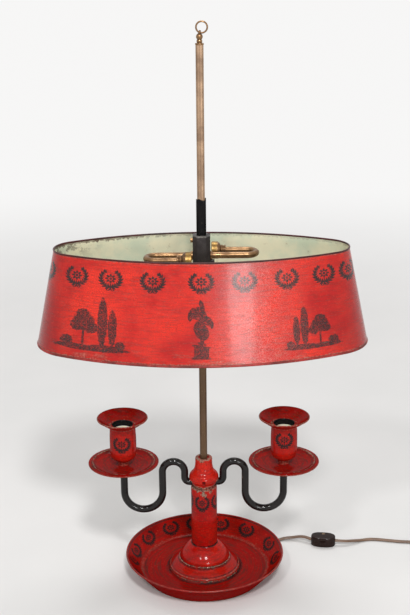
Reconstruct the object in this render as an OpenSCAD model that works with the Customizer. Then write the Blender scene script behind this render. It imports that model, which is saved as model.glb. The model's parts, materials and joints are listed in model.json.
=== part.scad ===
// Bouillotte table lamp: tole dish foot, red column, two fixed candle arms,
// and an oval tole shade with two bulb holders that slides on a square stem.
// Millimetres, +Z up, +X to the right arm, origin on the table under the stem.

/* [Dish foot] */
// Radius of the dish where it stands on the table
dish_foot_r = 72; // [66:1:78]
// Radius of the dish rim, without its rolled bead
dish_rim_r = 93.4; // [88:0.2:100]
// Height of the dish rim
dish_h = 25.6; // [22:0.2:32]
// Height of the underside of the dish floor
dish_floor_z = 5; // [5:0.2:6]
// Thickness of the tole sheet in the dish and its mouldings
dish_sheet = 1.1; // [0.8:0.1:1.4]
// Radius of the rolled bead along the dish rim
dish_bead_r = 1.1; // [0.8:0.1:1.5]
// Radius of the worn edge of the lower step
step_r = 42; // [38:0.5:48]
// Height of the worn edge of the lower step above the dish floor
step_edge_h = 4; // [3:0.2:5]
// Radius of the foot edge of the bell
bell_r = 30.6; // [28:0.2:34]
// Height of the step's top seat above its worn edge
step_rise = 8.3; // [7:0.1:10]
// Height of the bell
bell_h = 20.4; // [17:0.2:24]
// Radius of the ballast ring
ballast_r = 35; // [32:0.5:36]
// Height of the ballast ring's outer edge
ballast_h = 4; // [3:0.5:4]

/* [Column] */
// Outer radius of the column tube
column_r = 15.2; // [14.4:0.1:17]
// Height of the column tube
column_h = 74; // [65:1:84]
// Wall of the column tube and cap
column_wall = 1.1; // [0.8:0.1:1.5]
// Radius of the cap's shoulder
shoulder_r = 17.3; // [16.8:0.1:19]
// Radius of the cap's neck
neck_r = 9.9; // [9.4:0.1:10.8]
// Height of the cap from its lower edge to the top of its neck
cap_h = 33; // [31:0.5:38]
// Width of the slot in the front of the cap
cap_slot_w = 3.6; // [2:0.2:5]

/* [Stem] */
// Width of the stem across its flats
stem_w = 8.4; // [7.6:0.1:9]
// Width of the flat that cuts each corner of the stem
stem_chamfer = 1.9; // [1.4:0.1:2.2]
// Radius of the wire way through the stem
stem_bore_r = 2.3; // [1.9:0.1:2.5]
// Height of the top of the stem above the table
stem_top_z = 622.4; // [600:1:650]
// Radius of the threaded end of the stem below the dish floor
stem_thread_r = 3.5; // [3.3:0.1:3.7]

/* [Finial] */
// Radius of the finial's flange
flange_r = 4.8; // [4.6:0.1:6.5]
// Radius of the finial's ball
ball_r = 3.6; // [3.3:0.1:4.2]
// Radius of the ring's centreline
ring_r = 5.9; // [5:0.1:8]
// Radius of the ring's wire
ring_wire_r = 0.9; // [0.7:0.1:1]
// Lean of the ring and its eye towards the right
ring_lean = 24; // [0:1:30]

/* [Candle arms] */
// Distance from the stem to each candle
arm_reach = 93.5; // [84:0.5:110]
// Radius of the arm rod
arm_r = 4.25; // [3.8:0.05:4.3]
// Radius of the arm's upper bend
upper_bend_r = 13; // [11:0.5:14]
// Radius of the elbow beside the column
elbow_r = 6; // [5:0.5:6]
// Height of the centre of the upper bend above the middle of the arm's stub
upper_bend_rise = 13; // [9:0.5:16]
// Height of the centre of the lower bend
lower_bend_z = 104.5; // [95:0.5:112]

/* [Candle cups] */
// Width of the drip pan's edge outside its worn ridge
pan_edge_w = 4.2; // [2:0.2:8]
// Height of the underside of the drip pan's floor
pan_z = 139.8; // [136:0.2:146]
// Thickness of the pans, cups and nozzles
cup_sheet = 1; // [0.8:0.1:1.3]
// Radius of the candle cup
cup_r = 15.4; // [15.2:0.1:17]
// Height of the top of the cup above its pan
cup_h = 48.6; // [44:0.2:56]
// Bore of the nozzle that holds the candle
candle_bore_r = 11.2; // [10.6:0.1:11.3]
// Radius of the nozzle's flared rim
flare_r = 28.6; // [24:0.2:34]
// Rise of the nozzle's flare
flare_h = 9.6; // [8:0.2:12]
// Depth of the wax below the nozzle's throat
wax_depth = 5; // [3:0.5:9]

/* [Shade] */
// Half length of the shade's top
shade_top_a = 163.2; // [150:0.2:175]
// Half width of the shade's top
shade_top_b = 62.9; // [60:0.1:75]
// Radius of the shade's ends at the top
shade_end_r = 30; // [26:1:34]
// Outward spread of the wall from top to bottom
shade_spread = 22.1; // [16:0.1:28]
// Height of the shade wall
shade_h = 105.7; // [95:0.1:118]
// Thickness of the shade wall
shade_wall_t = 0.9; // [0.7:0.1:1.2]
// Height of the shade's lower edge in its rest place
shade_bottom_z = 296.1; // [285:0.5:305]
// Radius of the bead along the top edge
top_bead_r = 1.2; // [0.9:0.1:1.5]
// Radius of the bead along the bottom edge
bottom_bead_r = 1.6; // [1.2:0.1:2]

/* [Slide] */
// Width of the slide block
block_w = 19.3; // [18:0.1:20]
// Width of the flat that cuts each corner of the block
block_chamfer = 4.4; // [3:0.1:5]
// Height of the block
block_h = 65; // [58:1:70]
// Height of the top of the block in its rest place
block_top_z = 417; // [414:0.5:425]
// Width of the sleeve above the block
sleeve_w = 10.8; // [10.6:0.1:12]
// Height of the sleeve
sleeve_h = 41.4; // [35:0.2:48]
// Thickness of the bar that carries the shade
bar_t = 2.5; // [2:0.1:3]
// Width of the bar that carries the shade
bar_w = 15; // [12:0.5:16]

/* [Bulb holders] */
// Radius of the bent brass tubes
tube_r = 3.6; // [3.2:0.1:3.7]
// Wall of the bent brass tubes
tube_wall = 1; // [0.7:0.1:1.2]
// Distance between the two legs of each tube
tube_gap = 21; // [21:0.5:23]
// Reach of each tube's bend from the stem
tube_reach = 64; // [58:0.5:75]
// Depth of the tubes' centreline below the top of the block
tube_drop = 23.5; // [20:0.5:26]
// Distance from the stem to the mouth of each holder
mouth_x = 11; // [10.8:0.1:13]
// Outer radius of the holder's shell
holder_r = 10; // [9.8:0.1:10.2]
// Bore of the holder's screw shell
holder_bore_r = 6; // [5.8:0.1:6.2]

/* [Cord] */
// Width of the flat twin cord
cord_w = 5.2; // [5:0.1:5.4]
// Thickness of the flat twin cord
cord_t = 2.7; // [2.5:0.1:2.8]
// Length of the switch on the cord
switch_l = 30; // [28:0.5:30]
// Width of the switch
switch_w = 18; // [16:0.5:20]
// Height of the switch
switch_h = 12.4; // [11.6:0.2:13]
// Outer radius of the coil of spare cord
coil_r = 38; // [38:0.5:42]

/* [Hidden] */
$fn = 96;
// Clearances: fixed seats, sliding seats, and parts that turn
seat_gap = 0.05;
slip_gap = 0.2;
turn_gap = 0.08;
loose_gap = 0.3;

// Dish and mouldings
floor_top_z = dish_floor_z + dish_sheet;
step_edge_z = floor_top_z + step_edge_h;
step_seat_z = step_edge_z + step_rise;
bell_top_z = step_seat_z + bell_h;
bell_ledge_r = bell_r - 4;
step_nose_r = 1.3;
step_toe_w = 1.2;
step_toe_h = 1;
seat_margin = 0.6;
bell_foot_h = 1.4;
bell_crack = 0.5;
bell_ledge = 1;
bell_top_h = 1.3;
bell_rounding = [1.15, 0.9];
bell_steps = 7;
bell_top_in = 3;
round_steps = 4;
ballast_hole_r = 9;
ballast_top_r = 27;
ballast_rise = 5;
washer_t = 0.8;
nut_h = 2.2;
nut_r = 6.6;
washer_r = 8;
nut_margin = 0.3;
stem_low_z = dish_floor_z - washer_t - nut_h - nut_margin;
strip_in_r = washer_r + 1;
wire_r = 0.7;
wire_z = wire_r + 0.25;

// Bush that carries the cord through the dish wall
bush_angle = 36;
bush_w = cord_w + 2.8;
bush_h = cord_t + 1.5;
bush_low_z = 0.1;
bush_in_r = dish_foot_r - 4;
bush_out_r = dish_foot_r + 5.5;
cord_z = cord_t / 2 + 0.3;
cut_past = 1;

// Column
column_top_z = bell_top_z + column_h;
column_lip = 2;
column_hole_r = stem_w / 2 + column_wall + 1;
hub_r = 12;
hub_neck_r = neck_r - column_wall - loose_gap;
stub_z = column_top_z + arm_r + 0.4;
upper_bend_z = stub_z + upper_bend_rise;
cap_arm_gap = 0.95;
arm_inner_x = shoulder_r + arm_r + cap_arm_gap;
arm_drop_x = arm_inner_x + 2 * upper_bend_r;
lower_bend_r = (arm_reach - arm_drop_x) / 2;
cap_low_z = stub_z - 1.3;
cap_top_z = cap_low_z + cap_h;
cap_swell_z = cap_low_z + 6;
hub_step_z = stub_z + arm_r + 1.2;
hub_top_z = cap_top_z - column_wall;
hub_taper_h = 3;
hub_edge = [1.2, 2];
cap_slot_h = 9;
stub_seat_x = stem_w / 2 + 2.8;
stub_notch_gap = 0.6;

// Outline of the cap, from its skirt to its neck
cap_outline = [
    [shoulder_r - 3.3, cap_low_z],
    [shoulder_r - 2.8, cap_low_z + 2.6],
    [shoulder_r - 0.3, cap_low_z + 4.8],
    [shoulder_r, cap_low_z + 7],
    [shoulder_r - 0.2, cap_low_z + 9.6],
    [shoulder_r - 1.4, cap_low_z + 12.3],
    [neck_r + 3.2, cap_low_z + 15.4],
    [neck_r + 1.2, cap_low_z + 19],
    [neck_r + 0.3, cap_low_z + 23.5],
    [neck_r, cap_top_z - 5],
    [neck_r + 0.1, cap_top_z - 1.8],
    [neck_r - 1, cap_top_z]
];

// Finial
stud_r = stem_bore_r - seat_gap;
stud_l = 8;
flange_t = 1.5;
bead_z = stem_top_z + flange_t + 2;
bead_r = 3.1;
flange_cone_h = 1.4;
flange_step = 1.6;
bead_neck = 0.8;
ball_sink = 2.1;
ball_z = bead_z + bead_r + ball_r - ball_sink;
eye_hole_r = ring_wire_r + 0.4;
eye_r = eye_hole_r + 1.1;
eye_t = 2;
eye_lift = 0.8;
eye_z = ball_z + ball_r + eye_lift;

// Candle arms, pans, cups and nozzles
collar_r = 7;
collar_h = 3.5;
spigot_r = 3.2;
pan_top_z = pan_z + cup_sheet;
pan_arm_gap = 0.55;
pan_r = arm_reach - arm_drop_x - arm_r - pan_arm_gap;
ridge_r = pan_r - pan_edge_w;
spigot_top_z = pan_top_z + 11.4;
ridge_h = 4.4;
rim_drop = 1;
pan_bead_r = 0.8;
pan_curve = [[0.6, 0], [0.82, 0.26], [0.94, 0.7]];
cup_foot_r = 6;
cup_foot_flare = 0.2;
cup_foot_cut = 1.6;
cup_floor_h = 6;
cup_floor_t = 1.8;
cup_wall = cup_sheet * 1.2;
cup_lip = 0.4;
cup_top_z = pan_top_z + cup_h;
cup_nut_h = 2.8;
cup_nut_r = 5.6;
nozzle_r = candle_bore_r + cup_sheet;
nozzle_l = 25;
nozzle_seat_r = cup_r - cup_lip;
flare_curve = 0.25;
flare_steps = 6;
flare_wall = cup_sheet * 0.4;
flare_z = cup_top_z + flare_h;
flare_bead_r = 0.8;
wax_r = candle_bore_r - slip_gap;

// Outline of the cup above its floor, as [depth inside cup_r, height above the floor]
cup_bowl = [
    [5.85, 0.8], [2.15, 3.6], [cup_lip, 8.4], [0, 15],
    [0, cup_h - cup_floor_h - 14], [cup_lip, cup_h - cup_floor_h - 5],
    [cup_lip, cup_h - cup_floor_h]
];

// Shade: end arcs and side arcs that share their tangents
end_c = shade_top_a - shade_end_r;
half_diff = shade_top_b - shade_end_r;
side_c = (end_c * end_c - half_diff * half_diff) / (2 * half_diff);
side_r = shade_top_b + side_c;
end_sweep = 2 * atan(side_c / end_c);
side_sweep = 2 * atan(end_c / side_c);
shade_top_z = shade_bottom_z + shade_h;
shade_slope = shade_spread / shade_h;
tab_h = 14;
tab_t = 2;
tab_gap = 0.3;
tab_reach = 0.5;
bead_flats = 8;
end_steps = 14;
side_steps = 19;

// Slide
block_low_z = block_top_z - block_h;
bar_low_z = block_low_z - bar_t;
riser_drop = 26;
riser_top_z = bar_low_z - riser_drop;
slide_bore_w = stem_w + 2 * slip_gap;
bar_bore_w = slide_bore_w + 0.4;
tube_z = block_top_z - tube_drop;
clamp_z = tube_z - tube_r - 2.9;
clamp_r = 2;
clamp_head_l = 4.6;
clamp_head_gap = 0.1;
clamp_shank_r = 1.5;
set_screw_z = block_top_z - 6;
set_screw_r = 2.6;
set_screw_l = 2.6;
set_screw_tip_x = stem_w / 2 + 1.5;
slot_w = 0.7;
slot_d = 0.8;
sleeve_chamfer = stem_chamfer + 0.4;
bar_screw_x = 7.2;
bar_screw_r = 1.3;
bar_screw_head_r = 2.3;
bar_screw_head_h = 1.2;
bar_screw_l = 6;
wire_way_r = 1.6;

// Bulb holders
bend_x = tube_reach - tube_r - tube_gap / 2;
cap_back_x = mouth_x + 16;
band_l = 6.2;
band_t = 0.8;
holder_neck_r = 5.4;
holder_ring_l = 2.6;
holder_ring_w = 0.8;
holder_neck_l = 2.4;
holder_lip = 0.5;
holder_wall = 0.8;
core_l = 8.4;
core_small_r = holder_bore_r + 1.1;
core_inset = 0.4;
core_bevel = [1.6, 1.2];
core_back_t = 1.4;
lead_r = 1.1;
lead_start_x = stem_w / 2 + 0.6;

// Plug, switch and coil on the cord
plug_point = [352, 20];
plug_angle = -90;
plug_l = 26;
plug_w = 21;
plug_h = 12.4;

// Points of the cord from the bush to the switch, and on to the coil
switch_centre = [148, 58];
switch_angle = -8;
lead_route = [
    [bush_out_r * cos(bush_angle), bush_out_r * sin(bush_angle), cord_z],
    [72, 52.8, 1.65], [82, 60.1, 1.65], [92, 66.3, 1.65], [102, 69.2, 2.8],
    [111, 69.4, 3.6], [119, 68.1, 5.4], [126, 65.1, 6.3], switch_end(-1)
];
run_route = [
    switch_end(1), [170, 55.3, 5.8], [178, 56.1, 5.1], [187, 59.3, 3.8],
    [197, 63.9, 1.8], [208, 66.4, 1.65], [220, 65.1, 1.65], [232, 62.5, 1.65],
    [244, 60.1, 1.65], [256, 58.8, 1.65], [268, 58.1, 1.65], [280, 58, 1.65],
    [292, 58.2, 1.65], [302, 58.5, 1.65]
];
tail_route = [
    [302, 58.5, 8.1], [315, 57.2, 7.3], [327, 53.3, 5.2], [337.4, 47.2, 3.3],
    [345.3, 39.2, 3.2], [350.3, 30, 4.8], [plug_point[0], plug_point[1], plug_h / 2]
];
cord_sides = 8;
cord_steps = 3;
coil_centre = [302, 24];
coil_in_r = coil_r - 14;
coil_h = 12;
coil_low_z = 0.3;
coil_round = [1.5, 3, 2.5];
switch_wheel_r = 6.4;
switch_wheel_t = 4.6;
switch_wheel_y = -4.6;
switch_seam_z = 5.8;
switch_end_w = 9;
wheel_axle_r = 1.5;
wheel_axle_l = switch_wheel_t + 3;
wheel_notches = 24;
wheel_notch_r = 0.6;
wheel_notch_out = 0.25;
cover_screw_y = 4.6;
cover_screw_r = 1.2;
cover_screw_head_r = 2.2;
cover_screw_head_h = 1.2;
cover_screw_sink = 0.3;
cover_screw_low_z = 1;
contact_size = [3.8, 2.4, 0.8];
contact_x = 10.4;
blade_w = 6.3;
blade_t = 1.5;
blade_l = 17;
blade_gap = 12.7;
plug_neck_r = 3.6;
plug_neck_l = 2;
plug_waist_x = 10;
plug_waist_w = plug_w - 4;
plug_edge = 0.2;

// Points reversed, so that an inner outline closes an outer one
function reversed(points) = [for (i = [len(points) - 1:-1:0]) points[i]];

// Inner outline of a sheet cap that is open below low_z and swells out up to swell_z
function inside_cap(points, wall, low_z, swell_z = 0) =
    [for (p = points) [p[0] - wall, p[1] < swell_z ? p[1] : max(p[1] - wall, low_z)]];

// Points of an arc about a centre
function arc(centre, radius, from_angle, to_angle, steps) =
    [for (i = [0:steps])
        let (a = from_angle + (to_angle - from_angle) * i / steps)
        [centre[0] + radius * cos(a), centre[1] + radius * sin(a)]];

// Outline of a square bar with cut corners
function bar_outline(width, cut) =
    let (h = width / 2, c = h - cut)
    [[h, -c], [h, c], [c, h], [-c, h], [-h, c], [-h, -c], [-c, -h], [c, -h]];

module cut_bar(width, cut, height) {
    linear_extrude(height) polygon(bar_outline(width, cut));
}

module rod_x(radius, from_x, to_x) {
    translate([from_x, 0, 0]) rotate([0, 90, 0]) cylinder(r = radius, h = to_x - from_x);
}

// Bend of a round rod in the XZ plane
module bend_xz(centre_x, centre_z, bend_radius, from_angle, sweep, radius) {
    translate([centre_x, 0, centre_z]) rotate([90, 0, 0]) rotate([0, 0, from_angle])
        rotate_extrude(angle = sweep) translate([bend_radius, 0]) circle(r = radius);
}

// Everything on the left is the right side turned half a turn about the stem
module on_left() {
    rotate([0, 0, 180]) children();
}

// ---- Dish foot ----
function wall_x(z) = dish_foot_r + (dish_rim_r - dish_foot_r) * z / dish_h;

module base_dish() {
    color("firebrick") difference() {
        union() {
            rotate_extrude() polygon([
                [dish_foot_r - dish_sheet, 0],
                [dish_foot_r, 0],
                [dish_rim_r, dish_h],
                [dish_rim_r - dish_sheet, dish_h],
                [wall_x(floor_top_z) - dish_sheet, floor_top_z],
                [stem_thread_r + seat_gap, floor_top_z],
                [stem_thread_r + seat_gap, dish_floor_z],
                [wall_x(dish_floor_z) - dish_sheet, dish_floor_z]
            ]);
            translate([0, 0, dish_h]) rotate_extrude()
                translate([dish_rim_r - dish_sheet / 2, 0]) circle(r = dish_bead_r);
        }
        rotate([0, 0, bush_angle])
            translate([bush_in_r, -bush_w / 2 - slip_gap, -cut_past])
                cube([bush_out_r - bush_in_r, bush_w + 2 * slip_gap,
                      bush_h + slip_gap + cut_past]);
    }
}

module cord_bush() {
    color("saddlebrown") rotate([0, 0, bush_angle])
        translate([bush_in_r, -bush_w / 2, bush_low_z])
            cube([bush_out_r - bush_in_r, bush_w, bush_h - bush_low_z]);
}

module stem_nut() {
    color("goldenrod") translate([0, 0, dish_floor_z - washer_t - nut_h]) difference() {
        cylinder(r = nut_r, h = nut_h, $fn = 6);
        translate([0, 0, -cut_past])
            cylinder(r = stem_thread_r + seat_gap, h = nut_h + 2 * cut_past);
    }
}

module stem_washer() {
    color("gray") translate([0, 0, dish_floor_z - washer_t]) difference() {
        cylinder(r = washer_r, h = washer_t);
        translate([0, 0, -cut_past])
            cylinder(r = stem_thread_r + seat_gap, h = washer_t + 2 * cut_past);
    }
}

module ballast_ring() {
    color("dimgray") translate([0, 0, floor_top_z]) rotate_extrude() polygon([
        [ballast_hole_r, 0], [ballast_r, 0], [ballast_r, ballast_h],
        [ballast_top_r, ballast_h + ballast_rise], [ballast_hole_r, ballast_h + ballast_rise]
    ]);
}

module foot_step() {
    slope = atan(step_rise / (step_r - bell_r));
    nose = [step_r - step_nose_r, step_edge_z - step_nose_r];
    outer = concat(
        [[step_r + step_toe_w, floor_top_z], [step_r, floor_top_z + step_toe_h]],
        arc(nose, step_nose_r, 0, 90 - slope, round_steps),
        [[bell_r + seat_margin, step_seat_z], [bell_ledge_r, step_seat_z]]
    );
    color("firebrick") rotate_extrude() polygon(concat(
        outer, reversed(inside_cap(outer, dish_sheet, floor_top_z))));
}

module column_bell() {
    // The bell's side is one quarter-round swell with an upright foot edge
    swell_z = step_seat_z + bell_foot_h + bell_crack;
    swell_h = bell_top_z - bell_top_h - swell_z;
    swell_in_r = column_r + seat_margin;
    swell_w = bell_r - bell_ledge - swell_in_r;
    outer = concat(
        [[bell_r, step_seat_z], [bell_r, step_seat_z + bell_foot_h]],
        [for (i = [0:bell_steps])
            let (a = 90 * i / bell_steps)
            [swell_in_r + swell_w * pow(cos(a), bell_rounding[0]),
             swell_z + swell_h * pow(sin(a), bell_rounding[1])]],
        [[swell_in_r, bell_top_z], [column_r - bell_top_in, bell_top_z]]
    );
    color("firebrick") rotate_extrude() polygon(concat(
        outer, reversed(inside_cap(outer, dish_sheet, step_seat_z))));
}

// ---- Column ----
module column_tube() {
    edge = [column_r - column_lip, column_top_z - column_lip];
    outer = concat(
        [[column_r, bell_top_z]],
        arc(edge, column_lip, 0, 90, round_steps),
        [[column_hole_r, column_top_z]]
    );
    color("firebrick") rotate_extrude() polygon(concat(
        outer, reversed(inside_cap(outer, column_wall, bell_top_z))));
}

module arm_hub() {
    color("dimgray") difference() {
        rotate_extrude() polygon([
            [0, column_top_z], [hub_r, column_top_z], [hub_r, hub_step_z],
            [hub_neck_r, hub_step_z + hub_taper_h], [hub_neck_r, hub_top_z - hub_edge[1]],
            [hub_neck_r - hub_edge[0], hub_top_z], [0, hub_top_z]
        ]);
        translate([0, 0, column_top_z - cut_past])
            cut_bar(stem_w + 2 * seat_gap, stem_chamfer,
                hub_top_z - column_top_z + 2 * cut_past);
        for (side = [0, 180])
            rotate([0, 0, side]) translate([0, 0, stub_z])
                rod_x(arm_r + seat_gap, stub_seat_x, hub_r + cut_past);
    }
}

module column_cap() {
    color("firebrick") difference() {
        rotate_extrude() polygon(concat(
            [[0, cap_top_z]], reversed(cap_outline),
            inside_cap(cap_outline, column_wall, cap_low_z, cap_swell_z),
            [[0, cap_top_z - column_wall]]));
        translate([0, 0, cap_top_z - column_wall - cut_past])
            cut_bar(stem_w + 2 * slip_gap, stem_chamfer, column_wall + 2 * cut_past);
        for (side = [0, 180])
            rotate([0, 0, side]) translate([0, 0, stub_z]) {
                rod_x(arm_r + stub_notch_gap, hub_r, shoulder_r + cut_past);
                translate([hub_r, -arm_r - stub_notch_gap, -arm_r])
                    cube([shoulder_r, 2 * (arm_r + stub_notch_gap), arm_r]);
            }
        translate([-cap_slot_w / 2, -shoulder_r - cut_past, cap_low_z - cut_past])
            cube([cap_slot_w, shoulder_r + cut_past - hub_r, cap_slot_h + cut_past]);
    }
}

// ---- Stem ----
module stem_rod() {
    color("peru") difference() {
        union() {
            translate([0, 0, floor_top_z])
                cut_bar(stem_w, stem_chamfer, stem_top_z - floor_top_z);
            translate([0, 0, stem_low_z])
                cylinder(r = stem_thread_r, h = floor_top_z - stem_low_z);
        }
        translate([0, 0, stem_low_z - cut_past])
            cylinder(r = stem_bore_r, h = stem_top_z - stem_low_z + 2 * cut_past);
    }
}

module riser_lead() {
    color("saddlebrown") translate([0, 0, floor_top_z])
        cylinder(r = stem_bore_r - loose_gap, h = riser_top_z - floor_top_z);
}

// Cord under the dish floor, then its wires turning up into the stem
module base_lead() {
    color("saddlebrown") rotate([0, 0, bush_angle]) {
        translate([strip_in_r, -cord_w / 2, cord_z - cord_t / 2])
            cube([bush_in_r - strip_in_r, cord_w, cord_t]);
        translate([0, 0, wire_z]) rod_x(wire_r, 0, strip_in_r);
        translate([0, 0, wire_z]) cylinder(r = wire_r, h = floor_top_z - wire_z);
        translate([0, 0, wire_z]) sphere(r = wire_r);
    }
}

// ---- Finial ----
module ring_place() {
    translate([0, 0, eye_z]) rotate([0, ring_lean, 0]) children();
}

module finial_knob() {
    color("goldenrod") difference() {
        union() {
            translate([0, 0, stem_top_z - stud_l]) cylinder(r = stud_r, h = stud_l);
            translate([0, 0, stem_top_z]) cylinder(r = flange_r, h = flange_t);
            translate([0, 0, stem_top_z + flange_t])
                cylinder(r1 = flange_r - flange_step, r2 = bead_r - bead_neck,
                    h = flange_cone_h);
            translate([0, 0, bead_z]) sphere(r = bead_r);
            translate([0, 0, ball_z]) sphere(r = ball_r);
            ring_place() rod_x(eye_r, -eye_t / 2, eye_t / 2);
        }
        ring_place() rod_x(eye_hole_r, -ball_r, ball_r);
    }
}

module finial_ring() {
    color("goldenrod") ring_place() translate([0, 0, ring_r]) rotate([90, 0, 0])
        rotate_extrude() translate([ring_r, 0]) circle(r = ring_wire_r, $fn = 32);
}

// ---- Candle arms ----
module arm_right() {
    elbow_x = arm_inner_x - elbow_r;
    color([0.08, 0.08, 0.08]) {
        translate([0, 0, stub_z]) rod_x(arm_r, stub_seat_x, elbow_x);
        bend_xz(elbow_x, stub_z + elbow_r, elbow_r, -90, 90, arm_r);
        translate([arm_inner_x, 0, stub_z + elbow_r])
            cylinder(r = arm_r, h = upper_bend_z - stub_z - elbow_r);
        bend_xz(arm_drop_x - upper_bend_r, upper_bend_z, upper_bend_r, 0, 180, arm_r);
        translate([arm_drop_x, 0, lower_bend_z])
            cylinder(r = arm_r, h = upper_bend_z - lower_bend_z);
        bend_xz(arm_reach - lower_bend_r, lower_bend_z, lower_bend_r, 180, 180, arm_r);
        translate([arm_reach, 0, lower_bend_z]) {
            cylinder(r = arm_r, h = pan_z - lower_bend_z);
            translate([0, 0, pan_z - lower_bend_z - collar_h])
                cylinder(r = collar_r, h = collar_h);
            translate([0, 0, pan_z - lower_bend_z])
                cylinder(r = spigot_r, h = spigot_top_z - pan_z);
        }
    }
}

module pan_right() {
    top = concat(
        [[spigot_r + slip_gap, pan_top_z]],
        [for (p = pan_curve) [ridge_r * p[0], pan_top_z + ridge_h * p[1]]],
        [[ridge_r, pan_top_z + ridge_h], [pan_r, pan_top_z + ridge_h - rim_drop]]
    );
    under = [for (p = reversed(top)) [p[0], p[1] - cup_sheet]];
    color("firebrick") translate([arm_reach, 0, 0]) {
        rotate_extrude() polygon(concat(top, under));
        translate([0, 0, pan_top_z + ridge_h - rim_drop - cup_sheet / 2])
            rotate_extrude() translate([pan_r, 0]) circle(r = pan_bead_r, $fn = 24);
    }
}

module cup_right() {
    floor_z = pan_top_z + cup_floor_h;
    outer = [for (p = cup_bowl) [cup_r - p[0], floor_z + p[1]]];
    color("firebrick") translate([arm_reach, 0, 0]) rotate_extrude() polygon(concat(
        [[spigot_r + slip_gap, pan_top_z], [cup_foot_r, pan_top_z],
         [cup_foot_r + cup_foot_flare, floor_z - cup_foot_cut]],
        outer,
        reversed([for (p = outer) [p[0] - cup_wall, max(p[1], floor_z + cup_floor_t)]]),
        [[spigot_r + slip_gap, floor_z + cup_floor_t]]));
}

module cup_nuts() {
    color("goldenrod") for (side = [-1, 1])
        translate([side * arm_reach, 0, pan_top_z + cup_floor_h + cup_floor_t])
            difference() {
                cylinder(r = cup_nut_r, h = cup_nut_h, $fn = 6);
                translate([0, 0, -cut_past])
                    cylinder(r = spigot_r + seat_gap, h = cup_nut_h + 2 * cut_past);
            }
}

// Nozzle that hangs by a flat collar on the top of the cup, under its flare
module nozzle_right() {
    low_z = cup_top_z - nozzle_l;
    span = flare_r - nozzle_seat_r;
    flare = [for (i = [0:flare_steps])
        let (t = i / flare_steps)
        [nozzle_seat_r + span * t,
         cup_top_z + flare_h * ((1 - flare_curve) * t + flare_curve * t * t)]];
    color("firebrick") translate([arm_reach, 0, 0]) {
        rotate_extrude() polygon(concat(
            [[0, low_z], [nozzle_r, low_z], [nozzle_r, cup_top_z]],
            flare,
            [for (p = reversed(flare)) [p[0] - flare_wall, p[1] + cup_sheet]],
            [[candle_bore_r, cup_top_z + cup_sheet], [candle_bore_r, low_z + cup_sheet],
             [0, low_z + cup_sheet]]));
        translate([0, 0, flare_z + cup_sheet / 2]) rotate_extrude()
            translate([flare_r, 0]) circle(r = flare_bead_r, $fn = 24);
    }
}

module wax_right() {
    low_z = cup_top_z - nozzle_l + cup_sheet;
    color("ivory") translate([arm_reach, 0, low_z])
        cylinder(r = wax_r, h = nozzle_l - wax_depth);
}

// ---- Shade ----
// Stations round the oval: the centre, radius and direction of each arc's points
oval_stations = concat(
    oval_arc([end_c, 0], shade_end_r, 0, end_sweep, end_steps),
    oval_arc([0, -side_c], side_r, 90, side_sweep, side_steps),
    oval_arc([-end_c, 0], shade_end_r, 180, end_sweep, end_steps),
    oval_arc([0, side_c], side_r, 270, side_sweep, side_steps)
);

function oval_arc(centre, radius, middle, sweep, steps) =
    [for (i = [0:steps - 1]) [centre, radius, middle - sweep / 2 + sweep * i / steps]];

function oval_point(station, offset, z) = [
    station[0][0] + (station[1] + offset) * cos(station[2]),
    station[0][1] + (station[1] + offset) * sin(station[2]),
    z
];

// Closed band round the oval, from a section given as [offset, height] points in
// clockwise order, where offset 0 is the outer face at the top edge
module oval_band(section) {
    n = len(section);
    m = len(oval_stations);
    points = [for (s = oval_stations) for (p = section) oval_point(s, p[0], p[1])];
    faces = [for (i = [0:m - 1]) for (k = [0:n - 1])
        let (a = i * n, b = ((i + 1) % m) * n, j = (k + 1) % n)
        [a + k, a + j, b + j, b + k]];
    polyhedron(points, faces);
}

// Bead along the oval, with a section of eight flats
module oval_bead(offset, z, radius) {
    oval_band([for (k = [0:bead_flats - 1])
        let (a = -360 * (k - 0.5) / bead_flats)
        [offset + radius * cos(a), z + radius * sin(a)]]);
}

module shade_wall() {
    color("firebrick") oval_band([
        [0, shade_top_z], [shade_spread, shade_bottom_z],
        [shade_spread - shade_wall_t, shade_bottom_z], [-shade_wall_t, shade_top_z]
    ]);
}

module shade_top_bead() {
    color("maroon") oval_bead(-shade_wall_t / 2, shade_top_z + top_bead_r, top_bead_r);
}

module shade_bottom_bead() {
    color("tan") oval_bead(shade_spread - shade_wall_t / 2,
        shade_bottom_z - bottom_bead_r, bottom_bead_r);
}

// Flat bar under the block, with a tab at each end that lies against the wall
module shade_bar() {
    tab_out = shade_slope * (shade_top_z - bar_low_z) - shade_wall_t - tab_gap;
    tab_sweep = 2 * asin(bar_w / 2 / (shade_end_r + tab_out));
    tab_top = bar_low_z + tab_h;
    tab_lean = shade_slope * tab_h;
    end_x = end_c + shade_end_r + tab_out - tab_t - tab_reach;
    color("dimgray") {
        difference() {
            translate([-end_x, -bar_w / 2, bar_low_z]) cube([2 * end_x, bar_w, bar_t]);
            translate([0, 0, bar_low_z - cut_past])
                cut_bar(bar_bore_w, stem_chamfer, bar_t + 2 * cut_past);
            for (side = [-1, 1])
                translate([side * bar_screw_x, 0, bar_low_z - cut_past])
                    cylinder(r = bar_screw_r + slip_gap, h = bar_t + 2 * cut_past);
        }
        for (side = [0, 180])
            rotate([0, 0, side]) translate([end_c, 0, 0]) rotate([0, 0, -tab_sweep / 2])
                rotate_extrude(angle = tab_sweep) polygon([
                    [shade_end_r + tab_out, bar_low_z],
                    [shade_end_r + tab_out - tab_lean, tab_top],
                    [shade_end_r + tab_out - tab_lean - tab_t, tab_top],
                    [shade_end_r + tab_out - tab_t, bar_low_z]
                ]);
    }
}

module bar_screws() {
    color("goldenrod") for (side = [-1, 1]) translate([side * bar_screw_x, 0, 0]) {
        translate([0, 0, bar_low_z]) cylinder(r = bar_screw_r, h = bar_screw_l);
        translate([0, 0, bar_low_z - bar_screw_head_h])
            cylinder(r = bar_screw_head_r, h = bar_screw_head_h);
    }
}

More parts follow.
